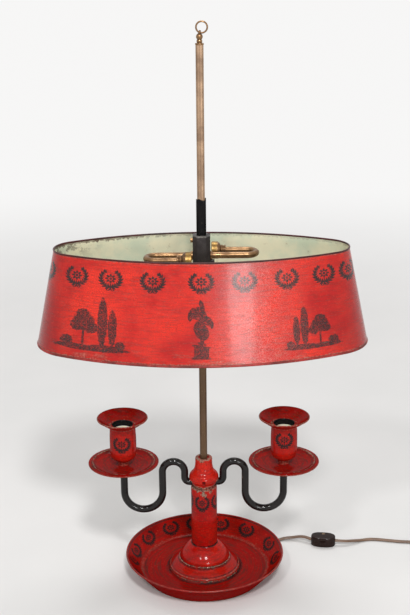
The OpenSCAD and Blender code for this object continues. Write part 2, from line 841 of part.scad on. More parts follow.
// ---- Slide ----
module slide_block() {
    color("dimgray") difference() {
        translate([0, 0, block_low_z]) cut_bar(block_w, block_chamfer, block_h);
        translate([0, 0, block_low_z - cut_past])
            cut_bar(slide_bore_w, stem_chamfer, block_h + 2 * cut_past);
        for (side = [-1, 1]) translate([side * bar_screw_x, 0, block_low_z - cut_past])
            cylinder(r = bar_screw_r + seat_gap, h = bar_screw_l);
        for (side = [0, 180]) rotate([0, 0, side]) translate([0, 0, tube_z])
            rod_x(wire_way_r, stem_w / 2, block_w / 2 + cut_past);
        translate([0, 0, clamp_z])
            rod_x(clamp_shank_r + turn_gap, stem_w / 2, block_w / 2 + cut_past);
        rotate([0, 0, 180]) translate([0, 0, set_screw_z])
            rod_x(clamp_shank_r + seat_gap, set_screw_tip_x, block_w / 2 + cut_past);
    }
}

module slide_sleeve() {
    color([0.06, 0.06, 0.07]) difference() {
        translate([0, 0, block_top_z])
            cut_bar(sleeve_w, sleeve_chamfer, sleeve_h);
        translate([0, 0, block_top_z - cut_past])
            cut_bar(slide_bore_w, stem_chamfer, sleeve_h + 2 * cut_past);
    }
}

// Screwdriver slot across a head that ends at end_x and lies along X
module head_slot(end_x, radius) {
    translate([end_x - slot_d, -radius - cut_past, -slot_w / 2])
        cube([slot_d + cut_past, 2 * (radius + cut_past), slot_w]);
}

// Screw whose tip bears on the stem and holds the shade's height
module clamp_screw() {
    head_x = block_w / 2 + clamp_head_gap;
    end_x = block_w / 2 + clamp_head_l;
    color([0.15, 0.12, 0.1]) translate([0, 0, clamp_z]) difference() {
        union() {
            rod_x(clamp_shank_r, stem_w / 2 + seat_gap, head_x);
            rod_x(clamp_r, head_x, end_x);
        }
        head_slot(end_x, clamp_r);
    }
}

module set_screw() {
    end_x = block_w / 2 + set_screw_l;
    color("peru") rotate([0, 0, 180]) translate([0, 0, set_screw_z]) difference() {
        union() {
            rod_x(clamp_shank_r, set_screw_tip_x, block_w / 2);
            rod_x(set_screw_r, block_w / 2, end_x);
        }
        head_slot(end_x, set_screw_r);
    }
}

// ---- Bulb holders ----
// Rod bent into a U that lies flat, with its first leg on the stem's plane
module u_rod(radius, near_x, far_x) {
    translate([0, 0, tube_z]) {
        rod_x(radius, near_x, bend_x);
        translate([bend_x, tube_gap / 2, 0]) rotate([0, 0, -90])
            rotate_extrude(angle = 180) translate([tube_gap / 2, 0]) circle(r = radius);
        translate([0, tube_gap, 0]) rod_x(radius, far_x, bend_x);
    }
}

module holder_tube_back() {
    color("peru") difference() {
        u_rod(tube_r, block_w / 2, cap_back_x - holder_ring_l);
        u_rod(tube_r - tube_wall, block_w / 2 - cut_past,
            cap_back_x - holder_ring_l - cut_past);
    }
}

module holder_lead_back() {
    color("saddlebrown")
        u_rod(lead_r, lead_start_x, mouth_x + core_l);
}

// Parts of the holder are revolved about its axis, with the mouth at x = mouth_x
module holder_turned(points) {
    translate([0, tube_gap, tube_z]) rotate([0, 90, 0])
        rotate_extrude() polygon([for (p = points) [p[1], p[0]]]);
}

module holder_cap_back() {
    cone_x = mouth_x + band_l;
    neck_x = cap_back_x - holder_ring_l;
    ring_r = holder_neck_r + holder_ring_w;
    color("peru") holder_turned([
        [cap_back_x, tube_r + seat_gap],
        [cap_back_x, ring_r],
        [neck_x, ring_r],
        [neck_x, holder_neck_r],
        [neck_x - holder_neck_l, holder_neck_r],
        [cone_x + holder_wall, holder_r - holder_lip],
        [cone_x, holder_r],
        [cone_x, holder_r - band_t - holder_wall],
        [neck_x - holder_neck_l, holder_neck_r - holder_wall],
        [neck_x, tube_r - tube_wall],
        [neck_x, tube_r + seat_gap]
    ]);
}

module holder_shell_back() {
    color("gold") holder_turned([
        [mouth_x, holder_r], [mouth_x + band_l, holder_r],
        [mouth_x + band_l, holder_r - band_t], [mouth_x, holder_r - band_t]
    ]);
}

module holder_core_back() {
    core_r = holder_r - band_t - seat_gap;
    back_x = mouth_x + core_l;
    color("ivory") holder_turned([
        [mouth_x + core_inset, holder_bore_r], [mouth_x + core_inset, core_r],
        [mouth_x + band_l, core_r], [mouth_x + band_l, core_small_r],
        [back_x - core_bevel[0], core_small_r], [back_x, core_small_r - core_bevel[1]],
        [back_x, 0], [back_x - core_back_t, 0], [back_x - core_back_t, holder_bore_r]
    ]);
}

// ---- Cord ----
// Point of a smooth curve through four route points
function curve_point(p, t) = 0.5 * (
    2 * p[1] + (p[2] - p[0]) * t
    + (2 * p[0] - 5 * p[1] + 4 * p[2] - p[3]) * t * t
    + (3 * p[1] - p[0] - 3 * p[2] + p[3]) * t * t * t);

function route_point(route, i) =
    i < 0 ? 2 * route[0] - route[1]
    : i >= len(route) ? 2 * route[len(route) - 1] - route[len(route) - 2]
    : route[i];

function smooth(route) = concat(
    [for (i = [0:len(route) - 2]) for (k = [0:cord_steps - 1])
        curve_point([for (j = [-1:2]) route_point(route, i + j)], k / cord_steps)],
    [route[len(route) - 1]]);

// Heading at a point of the line, where the two ends face what the cord enters
function heading(line, i, ends) =
    let (last = len(line) - 1, d = line[min(i + 1, last)] - line[max(i - 1, 0)])
    i == 0 ? [cos(ends[0]), sin(ends[0])]
    : i == last ? [cos(ends[1]), sin(ends[1])]
    : [d[0], d[1]] / norm([d[0], d[1]]);

// Flat twin cord swept along a route, level across its width
module cord_tube(route, ends) {
    line = smooth(route);
    rings = len(line);
    points = [for (i = [0:rings - 1]) for (k = [0:cord_sides - 1])
        let (h = heading(line, i, ends), a = 360 * (k + 0.5) / cord_sides)
        line[i] + [-h[1] * cos(a) * cord_w / 2, h[0] * cos(a) * cord_w / 2,
                   sin(a) * cord_t / 2]];
    sides = [for (i = [0:rings - 2]) for (k = [0:cord_sides - 1])
        let (n = (k + 1) % cord_sides, b = i * cord_sides)
        [b + k, b + n, b + n + cord_sides, b + k + cord_sides]];
    first = [for (k = [cord_sides - 1:-1:0]) k];
    last = [for (k = [0:cord_sides - 1]) (rings - 1) * cord_sides + k];
    polyhedron(points, concat([first, last], sides));
}

module cord_lead() {
    color("saddlebrown") cord_tube(lead_route, [bush_angle, switch_angle]);
}

module cord_run() {
    color("saddlebrown") cord_tube(run_route, [switch_angle, 0]);
}

module cord_tail() {
    color("saddlebrown") cord_tube(tail_route, [0, plug_angle]);
}

module cord_coil() {
    foot = coil_round[0];
    drop = coil_round[1];
    side = coil_round[2];
    color("saddlebrown") translate([coil_centre[0], coil_centre[1], coil_low_z])
        rotate_extrude() polygon([
            [coil_in_r, foot], [coil_in_r + foot, 0], [coil_r - foot, 0], [coil_r, foot],
            [coil_r, coil_h - drop], [coil_r - side, coil_h],
            [coil_in_r + side, coil_h], [coil_in_r, coil_h - drop]
        ]);
}

// ---- Switch ----
// Middle of the switch's end face, where the cord enters
function switch_end(side) = [
    switch_centre[0] + side * switch_l / 2 * cos(switch_angle),
    switch_centre[1] + side * switch_l / 2 * sin(switch_angle),
    switch_h / 2
];

module switch_place() {
    translate([switch_centre[0], switch_centre[1], 0]) rotate([0, 0, switch_angle])
        children();
}

// Boat-shaped body: two wide arcs meeting blunt ends
module switch_form(low_z, high_z) {
    swell = (switch_w - switch_end_w) / 2;
    arc_r = (switch_l * switch_l / 4 + swell * swell) / (2 * swell);
    intersection() {
        translate([-switch_l / 2, -switch_w / 2, low_z])
            cube([switch_l, switch_w, high_z - low_z]);
        switch_side(arc_r, 1, low_z, high_z);
        switch_side(arc_r, -1, low_z, high_z);
    }
}

module switch_side(arc_r, side, low_z, high_z) {
    translate([0, side * (arc_r - switch_w / 2), low_z])
        cylinder(r = arc_r, h = high_z - low_z);
}

// Spaces inside the two halves: the wheel, its axle, the screw and the contacts
module switch_hollows() {
    well_h = switch_wheel_t + 2 * slip_gap;
    translate([0, switch_wheel_y, switch_seam_z - well_h / 2])
        cylinder(r = switch_wheel_r + loose_gap, h = well_h);
    translate([0, switch_wheel_y, switch_seam_z - wheel_axle_l / 2])
        cylinder(r = wheel_axle_r + turn_gap, h = wheel_axle_l);
    translate([0, cover_screw_y, cover_screw_low_z])
        cylinder(r = cover_screw_r + seat_gap, h = switch_h);
    for (side = [-1, 1])
        contact_box(side, seat_gap);
}

module contact_box(side, gap) {
    translate([side * contact_x - contact_size[0] / 2 - gap, -contact_size[1] / 2 - gap,
               switch_seam_z - contact_size[2] / 2])
        cube(contact_size + [2 * gap, 2 * gap, 0]);
}

module switch_base() {
    color([0.2, 0.11, 0.07]) switch_place() difference() {
        switch_form(0, switch_seam_z);
        switch_hollows();
    }
}

module switch_cover() {
    color([0.22, 0.12, 0.08]) switch_place() difference() {
        switch_form(switch_seam_z, switch_h);
        switch_hollows();
        translate([0, cover_screw_y, switch_h - cover_screw_head_h])
            cylinder(r = cover_screw_head_r + seat_gap, h = cover_screw_head_h + cut_past);
    }
}

module switch_wheel() {
    color([0.14, 0.08, 0.05]) switch_place() translate([0, switch_wheel_y, switch_seam_z]) {
        translate([0, 0, -wheel_axle_l / 2]) cylinder(r = wheel_axle_r, h = wheel_axle_l);
        translate([0, 0, -switch_wheel_t / 2]) difference() {
            cylinder(r = switch_wheel_r, h = switch_wheel_t);
            for (i = [0:wheel_notches - 1]) rotate([0, 0, 360 / wheel_notches * i])
                translate([switch_wheel_r + wheel_notch_out, 0, -cut_past])
                    cylinder(r = wheel_notch_r, h = switch_wheel_t + 2 * cut_past);
        }
    }
}

module switch_screw() {
    head_z = switch_h - cover_screw_head_h;
    head_h = cover_screw_head_h - cover_screw_sink;
    color("silver") switch_place() translate([0, cover_screw_y, 0]) difference() {
        union() {
            translate([0, 0, cover_screw_low_z])
                cylinder(r = cover_screw_r, h = head_z - cover_screw_low_z);
            translate([0, 0, head_z]) cylinder(r = cover_screw_head_r, h = head_h);
        }
        translate([-cover_screw_head_r - cut_past, -slot_w / 2, head_z + head_h / 2])
            cube([2 * (cover_screw_head_r + cut_past), slot_w, head_h]);
    }
}

module switch_contacts() {
    color("gold") switch_place() for (side = [-1, 1])
        contact_box(side, 0);
}

// ---- Plug ----
module plug_place() {
    translate([plug_point[0], plug_point[1], plug_h / 2]) rotate([0, 0, plug_angle])
        children();
}

module plug_slab(low_x, high_x, width, height) {
    translate([low_x, -width / 2, -height / 2]) cube([high_x - low_x, width, height]);
}

module plug_body() {
    color([0.2, 0.11, 0.07]) plug_place() hull() {
        rotate([0, 90, 0]) cylinder(r = plug_neck_r, h = plug_neck_l, $fn = 24);
        plug_slab(plug_waist_x, plug_waist_x + 1, plug_waist_w, plug_h - 1);
        plug_slab(plug_l - 2, plug_l, plug_w, plug_h - plug_edge);
    }
}

module plug_blades() {
    color("gold") plug_place() for (side = [-1, 1])
        translate([plug_l, side * blade_gap / 2 - blade_t / 2, -blade_w / 2])
            cube([blade_l, blade_t, blade_w]);
}

base_dish();
cord_bush();
stem_nut();
stem_washer();
ballast_ring();
foot_step();
column_bell();
column_tube();
arm_hub();
column_cap();
stem_rod();
riser_lead();
base_lead();
finial_knob();
finial_ring();
on_left() arm_right();  // arm_left
arm_right();
on_left() pan_right();  // pan_left
pan_right();
on_left() cup_right();  // cup_left
cup_right();
cup_nuts();
on_left() nozzle_right();  // nozzle_left
nozzle_right();
on_left() wax_right();  // wax_left
wax_right();
slide_block();
slide_sleeve();
clamp_screw();
set_screw();
shade_bar();
bar_screws();
shade_wall();
shade_top_bead();
shade_bottom_bead();
on_left() holder_tube_back();  // holder_tube_front
holder_tube_back();
on_left() holder_cap_back();  // holder_cap_front
holder_cap_back();
on_left() holder_shell_back();  // holder_shell_front
holder_shell_back();
on_left() holder_core_back();  // holder_core_front
holder_core_back();
on_left() holder_lead_back();  // holder_lead_front
holder_lead_back();
cord_lead();
cord_run();
cord_coil();
cord_tail();
switch_base();
switch_cover();
switch_wheel();
switch_screw();
switch_contacts();
plug_body();
plug_blades();
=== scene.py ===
# Bouillotte lamp: tole dish foot, red column, two candle arms, and an oval shade
# that slides on a square stem. Sizes in the dictionaries are in millimetres.
import json
import math

import bmesh
import bpy
from mathutils import Matrix, Vector, noise


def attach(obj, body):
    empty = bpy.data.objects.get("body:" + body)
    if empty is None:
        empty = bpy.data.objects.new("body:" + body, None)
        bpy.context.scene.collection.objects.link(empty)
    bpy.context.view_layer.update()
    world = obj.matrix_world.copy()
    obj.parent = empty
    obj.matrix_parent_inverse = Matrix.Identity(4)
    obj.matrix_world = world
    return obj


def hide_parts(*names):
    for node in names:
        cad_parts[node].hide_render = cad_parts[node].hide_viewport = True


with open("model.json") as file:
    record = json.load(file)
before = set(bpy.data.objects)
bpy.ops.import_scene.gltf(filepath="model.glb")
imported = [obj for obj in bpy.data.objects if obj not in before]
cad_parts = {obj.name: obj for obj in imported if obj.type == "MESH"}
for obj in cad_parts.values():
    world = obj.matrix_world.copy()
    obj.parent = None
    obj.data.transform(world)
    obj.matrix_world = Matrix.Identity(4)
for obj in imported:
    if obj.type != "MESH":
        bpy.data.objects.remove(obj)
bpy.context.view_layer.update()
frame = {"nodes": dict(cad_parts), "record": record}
nodes = frame["nodes"]
scene = bpy.context.scene
mm = 0.001
fullTurn = 2 * math.pi
print("frame loaded,", len(nodes), "solids")

# Camera
cameraView = {
    "place": (0.003216, -1.3, 0.7683),
    "tilt": 71.48,  # degrees from straight down
    "roll": -0.538,
    "lens": 71.707,
}


def placeCamera():
    camera = bpy.data.objects.new("camera", bpy.data.cameras.new("camera"))
    scene.collection.objects.link(camera)
    camera.data.lens = cameraView["lens"]
    camera.matrix_world = (
        Matrix.Translation(cameraView["place"])
        @ Matrix.Rotation(math.radians(cameraView["tilt"]), 4, "X")
        @ Matrix.Rotation(math.radians(cameraView["roll"]), 4, "Z")
    )
    scene.camera = camera


placeCamera()


# Mesh helpers
def finishPiece(bm, name, replaced, slot, body="base", materials=None, sharpAngle=32):
    mesh = bpy.data.meshes.new(name)
    bm.to_mesh(mesh)
    bm.free()
    for material in materials or [finishes[slot]]:
        mesh.materials.append(material)
    mesh.shade_smooth()
    mesh.set_sharp_from_angle(angle=math.radians(sharpAngle))
    piece = bpy.data.objects.new(name, mesh)
    scene.collection.objects.link(piece)
    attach(piece, body)
    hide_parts(*replaced.split())
    return piece


def cleanMesh(bm, edge=0.0, limit=28):
    # doubles merged, normals outward, and edges sharper than the limit softened
    bmesh.ops.remove_doubles(bm, verts=bm.verts, dist=2e-6)
    bmesh.ops.recalc_face_normals(bm, faces=bm.faces)
    if edge:
        sharp = [e for e in bm.edges if e.is_manifold
                 and e.calc_face_angle(0) > math.radians(limit)]
        bmesh.ops.bevel(bm, geom=sharp, offset=edge * mm, affect="EDGES", segments=2,
                        profile=0.5, material=-1, clamp_overlap=True)


def placed(bm, angle, axis="Z", place=(0, 0, 0)):
    bmesh.ops.rotate(bm, cent=(0, 0, 0), verts=bm.verts,
                     matrix=Matrix.Rotation(math.radians(angle), 3, axis))
    bmesh.ops.translate(bm, vec=Vector(place) * mm, verts=bm.verts)
    return bm


def vertsOf(geom):
    return [g for g in geom if isinstance(g, bmesh.types.BMVert)]


def edgesAt(verts):
    return list({e for v in verts for e in v.link_edges})


def fillHoles(bm, sides):
    bmesh.ops.holes_fill(bm, edges=[e for e in bm.edges if e.is_boundary], sides=sides)


def closedLine(bm, points):
    # loop of edges through points in millimetres
    line = [bm.verts.new(Vector(p) * mm) for p in points]
    return line, [bm.edges.new(pair) for pair in zip(line, line[1:] + line[:1])]


def softLine(points, steps=4):
    # smooth curve through profile or route points
    points = [Vector(p) for p in points]
    ends = [2 * points[0] - points[1]] + points + [2 * points[-1] - points[-2]]
    line = []
    for a, b, c, d in zip(ends, ends[1:], ends[2:], ends[3:]):
        for k in range(steps):
            t = k / steps
            line.append(0.5 * (2 * b + (c - a) * t + (2 * a - 5 * b + 4 * c - d) * t * t
                               + (3 * b - a - 3 * c + d) * t ** 3))
    return line + [points[-1]]


def arcLine(centre, radius, start, end, steps=6):
    turns = [math.radians(start + (end - start) * i / steps) for i in range(steps + 1)]
    return [(centre[0] + radius * math.cos(a), centre[1] + radius * math.sin(a))
            for a in turns]


def addTurned(bm, profile, centre=(0, 0, 0), axis="Z", steps=96):
    # profile is a closed loop of (radius, distance along the axis)
    spot = Vector(centre)
    line, edges = closedLine(bm, [
        spot + Vector((radius, 0, along) if axis == "Z" else (along, 0, radius))
        for radius, along in profile])
    bmesh.ops.spin(bm, geom=line + edges, cent=spot * mm, dvec=(0, 0, 0), angle=fullTurn,
                   axis=(0, 0, 1) if axis == "Z" else (1, 0, 0), steps=steps,
                   use_merge=True)


def turned(profile, centre=(0, 0, 0), axis="Z", steps=96, edge=0.0):
    bm = bmesh.new()
    addTurned(bm, profile, centre, axis, steps)
    cleanMesh(bm, edge)
    return bm


def addRod(bm, start, moves, radius, sides=28, turnStep=6):
    # rod that starts along X; moves are ("go", length) or ("turn", centre, axis, degrees)
    heading = Vector((1, 0, 0))
    ring = bmesh.ops.create_circle(bm, segments=sides, radius=radius * mm)["verts"]
    tilt = Vector((0, 0, 1)).rotation_difference(heading).to_matrix()
    bmesh.ops.rotate(bm, cent=(0, 0, 0), matrix=tilt, verts=ring)
    bmesh.ops.translate(bm, vec=Vector(start) * mm, verts=ring)
    edges = edgesAt(ring)
    for kind, *move in moves:
        if kind == "go":
            ring = vertsOf(bmesh.ops.extrude_edge_only(bm, edges=edges)["geom"])
            bmesh.ops.translate(bm, vec=heading * move[0] * mm, verts=ring)
        else:
            centre, axis, angle = Vector(move[0]) * mm, Vector(move[1]), math.radians(move[2])
            ring = vertsOf(bmesh.ops.spin(
                bm, geom=ring + edges, cent=centre, axis=axis, dvec=(0, 0, 0), angle=angle,
                steps=max(2, round(abs(move[2]) / turnStep)))["geom_last"])
            heading = Matrix.Rotation(angle, 3, axis) @ heading
        ringSet = set(ring)
        edges = [e for e in edgesAt(ring) if ringSet.issuperset(e.verts)]
    fillHoles(bm, sides)


def drawnUp(bm, faces, keep=False):
    # the faces pulled out as the new end of a wall; the old ones go unless kept as a lid
    made = bmesh.ops.extrude_face_region(bm, geom=faces)["geom"]
    if not keep:
        bmesh.ops.delete(bm, geom=faces, context="FACES_ONLY")
    return [g for g in made if isinstance(g, bmesh.types.BMFace)], vertsOf(made)


def cutCorners(bm, width, cut, z):
    # edges of a square outline with cut corners
    h, c = width / 2, width / 2 - cut
    return closedLine(bm, [(x, y, z) for x, y in (
        (h, -c), (h, c), (c, h), (-c, h), (-h, c), (-h, -c), (-c, -h), (c, -h))])[1]


def addBar(bm, width, cut, bore, lowZ, highZ, rows=1):
    # square bar with cut corners and a bore: ("square", width, cut) or ("round", radius)
    outer = cutCorners(bm, width, cut, lowZ)
    if bore[0] == "square":
        inner = cutCorners(bm, bore[1], bore[2], lowZ)
    else:
        outer += [g for g in bmesh.ops.subdivide_edges(bm, edges=outer, cuts=1)["geom_split"]
                  if isinstance(g, bmesh.types.BMEdge) and g not in outer]
        ring = bmesh.ops.create_circle(bm, segments=16, radius=bore[1] * mm)["verts"]
        bmesh.ops.translate(bm, vec=(0, 0, lowZ * mm), verts=ring)
        inner = edgesAt(ring)
    faces = bmesh.ops.bridge_loops(bm, edges=outer + inner)["faces"]
    for row in range(rows):
        faces, ends = drawnUp(bm, faces, keep=row == 0)
        bmesh.ops.translate(bm, vec=(0, 0, (highZ - lowZ) / rows * mm), verts=ends)


def lofted(sections, sides, squareness=0.0, squareAt=1.0):
    # rings of (distance along X, width, height, middle's height), bridged and closed;
    # with a squareness they grow squarer from a round start up to the distance squareAt
    bm = bmesh.new()
    rings = []
    for x, width, height, z in sections:
        ring = bmesh.ops.create_circle(bm, segments=sides, radius=0.5 * mm)["verts"]
        bmesh.ops.rotate(bm, cent=(0, 0, 0), verts=ring,
                         matrix=Matrix.Rotation(math.pi / 2, 3, "Y"))
        for v in ring:
            reach = max(abs(v.co.y), abs(v.co.z)) / (0.5 * mm)
            v.co *= 1 + (1 / reach - 1) * min(1, x / squareAt) * squareness
        bmesh.ops.scale(bm, vec=(1, width, height), verts=ring)
        bmesh.ops.translate(bm, vec=Vector((x, 0, z)) * mm, verts=ring)
        rings.append(edgesAt(ring))
    for a, b in zip(rings, rings[1:]):
        bmesh.ops.bridge_loops(bm, edges=a + b)
    fillHoles(bm, sides)
    return bm


# Node helpers
def addNode(tree, kind, inputs=None, **settings):
    node = tree.nodes.new("ShaderNode" + kind)
    for name, value in settings.items():
        setattr(node, name, value)
    for name, value in (inputs or {}).items():
        socket, value = node.inputs[name], getattr(value, "socket", value)
        if isinstance(value, bpy.types.NodeSocket):
            tree.links.new(value, socket)
        else:
            # colours are written without their alpha
            socket.default_value = (*value, 1) if socket.type == "RGBA" else value
    return node


class Wire:
    # a node's output, reckoned with like a number
    def __init__(self, socket):
        self.socket, self.tree = socket, socket.id_data

    def node(self, kind, inputs, output=0, **settings):
        return Wire(addNode(self.tree, kind, inputs, **settings).outputs[output])

    def calc(self, operation, other=0.0, **settings):
        return self.node("Math", {0: self, 1: other}, operation=operation, **settings)

    def __add__(self, other):
        return self.calc("ADD", other)

    def __sub__(self, other):
        return self.calc("SUBTRACT", other)

    def __rsub__(self, other):
        return self.node("Math", {0: other, 1: self}, operation="SUBTRACT")

    def __mul__(self, other):
        return self.calc("MULTIPLY", other)

    def __truediv__(self, other):
        return self.calc("DIVIDE", other)

    def __pow__(self, power):
        return self.calc("POWER", power)

    def __abs__(self):
        return self.calc("ABSOLUTE")

    def ramp(self, low, high, toLow=0.0, toHigh=1.0, kind="SMOOTHSTEP"):
        return self.node("MapRange", {"Value": self, "From Min": low, "From Max": high,
                                      "To Min": toLow, "To Max": toHigh},
                         interpolation_type=kind)

    def mix(self, first, second):
        # from the first colour to the second as this value goes from 0 to 1
        return self.node("Mix", {0: self, 6: first, 7: second}, 2, data_type="RGBA")

    def bump(self, strength, distance):
        return self.node("Bump", {"Height": self, "Strength": strength,
                                  "Distance": distance})

    def noise(self, scale, detail=3.0, roughness=0.55):
        return self.node("TexNoise", {"Vector": self, "Scale": scale, "Detail": detail,
                                      "Roughness": roughness})

    def mapped(self, place=(0, 0, 0), scale=(1, 1, 1), turn=(0, 0, 0)):
        return self.node("Mapping", {"Vector": self, "Location": place, "Scale": scale,
                                     "Rotation": turn})

    def reach(self, operation="LENGTH", other=(0, 0, 0)):
        return self.node("VectorMath", {0: self, 1: other}, 1, operation=operation)

    def xyz(self):
        return wiresOf(addNode(self.tree, "SeparateXYZ", {0: self})).values()


def wiresOf(node):
    return {socket.name: Wire(socket) for socket in node.outputs}


def combined(x, y, z=0.0):
    return x.node("CombineXYZ", {0: x, 1: y, 2: z})


def largest(values):
    best = values[0]
    for value in values[1:]:
        best = best.calc("MAXIMUM", value)
    return best


def feed(sockets, values):
    for name, value in values.items():
        value.tree.links.new(value.socket, sockets[name])


def makeGroup(name, inputs, outputs):
    # inputs with their defaults: None is a vector, a tuple a colour
    tree = bpy.data.node_groups.new(name, "ShaderNodeTree")
    for label, value in inputs.items():
        kind = {type(None): "Vector", tuple: "Color", float: "Float"}[type(value)]
        socket = tree.interface.new_socket(label, in_out="INPUT",
                                           socket_type="NodeSocket" + kind)
        if value is not None:
            socket.default_value = (*value, 1) if kind == "Color" else value
    for label in outputs:
        kind = "Color" if label == "Colour" else "Float"
        tree.interface.new_socket(label, in_out="OUTPUT", socket_type="NodeSocket" + kind)
    return (tree, wiresOf(tree.nodes.new("NodeGroupInput")),
            tree.nodes.new("NodeGroupOutput").inputs)


def useGroup(group, inputs):
    tree = next(value.tree for value in inputs.values() if isinstance(value, Wire))
    return wiresOf(addNode(tree, "Group", inputs, node_tree=group))


shaderInputs = {
    "roughness": "Roughness", "specular": "Specular IOR Level", "coat": "Coat Weight",
    "coatRoughness": "Coat Roughness", "subsurface": "Subsurface Weight",
    "subsurfaceScale": "Subsurface Scale",
}


def newMaterial(name, metallic=0.0, **constants):
    # the material, the place on the object, and the shader's inputs
    material = bpy.data.materials.new(name)
    material.use_nodes = True
    tree = material.node_tree
    tree.nodes.clear()
    output = addNode(tree, "OutputMaterial")
    shader = addNode(tree, "BsdfPrincipled")
    shader.inputs["Metallic"].default_value = metallic
    for label, value in constants.items():
        shader.inputs[shaderInputs[label]].default_value = value
    tree.links.new(shader.outputs[0], output.inputs[0])
    return material, wiresOf(addNode(tree, "TexCoord"))["Object"], shader.inputs


# Shared effects
def makeWornLine():
    # broken worn line along an edge: Distance is how far the surface is from the edge
    tree, given, out = makeGroup("wornLine", {
        "Vector": None, "Distance": 0.0, "Width": 0.001, "Grain": 300.0, "Amount": 1.0},
        ["Mask"])
    place, grain = given["Vector"], given["Grain"]
    reach = given["Width"] * place.noise(grain, 4, 0.65).ramp(0.3, 0.7, 0.25, 1.75)
    near = abs(given["Distance"]) / reach
    gaps = place.noise(grain * 0.13, 2)
    mask = near.ramp(1.15, 0.75) * gaps.ramp(0.3, 0.52, 0.35, 1.0)
    feed(out, {"Mask": mask.calc("MULTIPLY", given["Amount"], use_clamp=True)})
    return tree


def makeWreath():
    # laurel wreath in a unit circle, open at the top, with a rosette in the middle
    tree, given, out = makeGroup("laurelWreath", {"X": 0.0, "Y": 0.0, "Leaves": 10.0},
                                 ["Mask"])
    x, y = given["X"], given["Y"]
    rho = (x * x + y * y).calc("SQRT")
    fromFoot = abs(x.calc("ARCTAN2", y * -1)) / math.pi
    away = abs(rho - 0.73)
    share = away / (0.31 - fromFoot * 0.12)
    along = fromFoot * given["Leaves"] - share * 0.85
    leaf = ((1 - share * share) * 0.5 - abs(along.calc("FRACT") - 0.5)).ramp(-0.05, 0.07)
    branch = away.ramp(0.09, 0.06)
    leaves = largest([leaf, branch]) * fromFoot.ramp(0.88, 0.84)
    petal = abs((x.calc("ARCTAN2", y) * 4).calc("COSINE")) * 0.22
    rosette = ((rho - (petal + 0.2)).ramp(0.03, -0.02)
               * abs(rho - 0.14).ramp(0.015, 0.045))
    lobe = (((abs(x) - 0.17) / 0.15) ** 2 + ((y + 0.98) / 0.09) ** 2).calc("SQRT")
    bow = lobe.ramp(1.05, 0.95) * lobe.ramp(0.35, 0.5)
    feed(out, {"Mask": largest([leaves, rosette, bow])})
    return tree


def makeSilhouette(name, shapes, roughness):
    # painted silhouette from ("oval" or "box", x, y, half width, half height)
    tree, given, out = makeGroup(name, {"X": 0.0, "Y": 0.0, "Vector": None}, ["Mask"])
    spot = combined(given["X"], given["Y"])
    nearest = None
    for kind, x, y, halfW, halfH in shapes:
        local = spot.mapped((-x / halfW, -y / halfH, 0), (1 / halfW, 1 / halfH, 1))
        if kind == "oval":
            reach = local.reach()
        else:
            across, up, _ = local.node("VectorMath", {0: local}, operation="ABSOLUTE").xyz()
            reach = largest([across, up])
        nearest = nearest.calc("MINIMUM", reach) if nearest else reach
    ragged = (given["Vector"].noise(420, 4, 0.7) - 0.5) * roughness
    hatched = given["Vector"].mapped(scale=(1, 1, 2.4), turn=(0.5, 0.3, 0.4))
    feed(out, {"Mask": (nearest + ragged).ramp(1.06, 0.94)
               * hatched.noise(700, 2, 0.5).ramp(0.36, 0.5, 0.35, 1.0)})
    return tree


def makeTolePaint():
    # old vermilion lacquer, from the clouded ground up
    tree, given, out = makeGroup("tolePaint", {
        "Vector": None, "Brushed": None, "OrnamentAndShade": 0.0, "Wear": 0.0, "Rub": 0.5,
        "Shade": 0.5}, ["Colour", "Roughness", "Height"])
    place, rub, wear = given["Vector"], given["Rub"], given["Wear"]
    clouds = place.noise(16, 4, 0.6)
    fine = place.noise(520, 3, 0.7)
    flow = given["Brushed"].noise(60, 5, 0.65)
    crack = place.node("TexVoronoi", {"Vector": place, "Scale": 460.0}, "Distance",
                       feature="DISTANCE_TO_EDGE")
    cracks = crack.ramp(0.07, 0.01) * clouds.ramp(0.4, 0.62, 0.1, 0.6)
    streaks = flow.ramp(0.46, 0.62) * rub
    mottle = place.noise(330, 4, 0.7).ramp(0.55, 0.7) * (rub * 0.34)
    specks = place.noise(900, 2, 0.5).ramp(0.66, 0.74) * 0.55
    # the ornament's dark paint, and the dark lines that turned pieces pass in, some of them
    # painted shade
    ink = given["OrnamentAndShade"] * place.noise(260, 5, 0.75).ramp(0.34, 0.48, 0.6, 0.98)
    scuffs = place.noise(45, 3, 0.6).ramp(0.6, 0.72) * fine.ramp(0.5, 0.66) * 0.5
    red = clouds.ramp(0.32, 0.68).mix((0.4, 0.004, 0.004), (0.78, 0.026, 0.01))
    # Shade mixes the red towards a deep red: painted shade on the lampshade's ends and the
    # dish's outside, a deeper tone of red on other pieces
    for cover, colour in (
            (given["Shade"].calc("MULTIPLY", 0.8, use_clamp=True), (0.23, 0.0008, 0.001)),
            (fine.ramp(0.56, 0.72) * 0.28, (0.85, 0.1, 0.05)),
            (streaks, (0.13, 0.012, 0.008)), (cracks, (0.15, 0.008, 0.006)),
            (mottle, (0.17, 0.055, 0.022)), (specks, (0.07, 0.012, 0.01)),
            (ink, (0.014, 0.01, 0.01)), (scuffs, (0.1, 0.05, 0.045))):
        red = cover.mix(red, colour)
    bare = fine.ramp(0.4, 0.6).mix((0.055, 0.032, 0.024), (0.3, 0.21, 0.15))
    feed(out, {
        "Colour": wear.mix(red, bare),
        "Roughness": flow.ramp(0.3, 0.75, 0.14, 0.26) + wear * 0.12 + fine * 0.08,
        "Height": clouds * 0.5 + fine * 0.22 - (cracks * 0.35 + wear * 0.4)})
    return tree


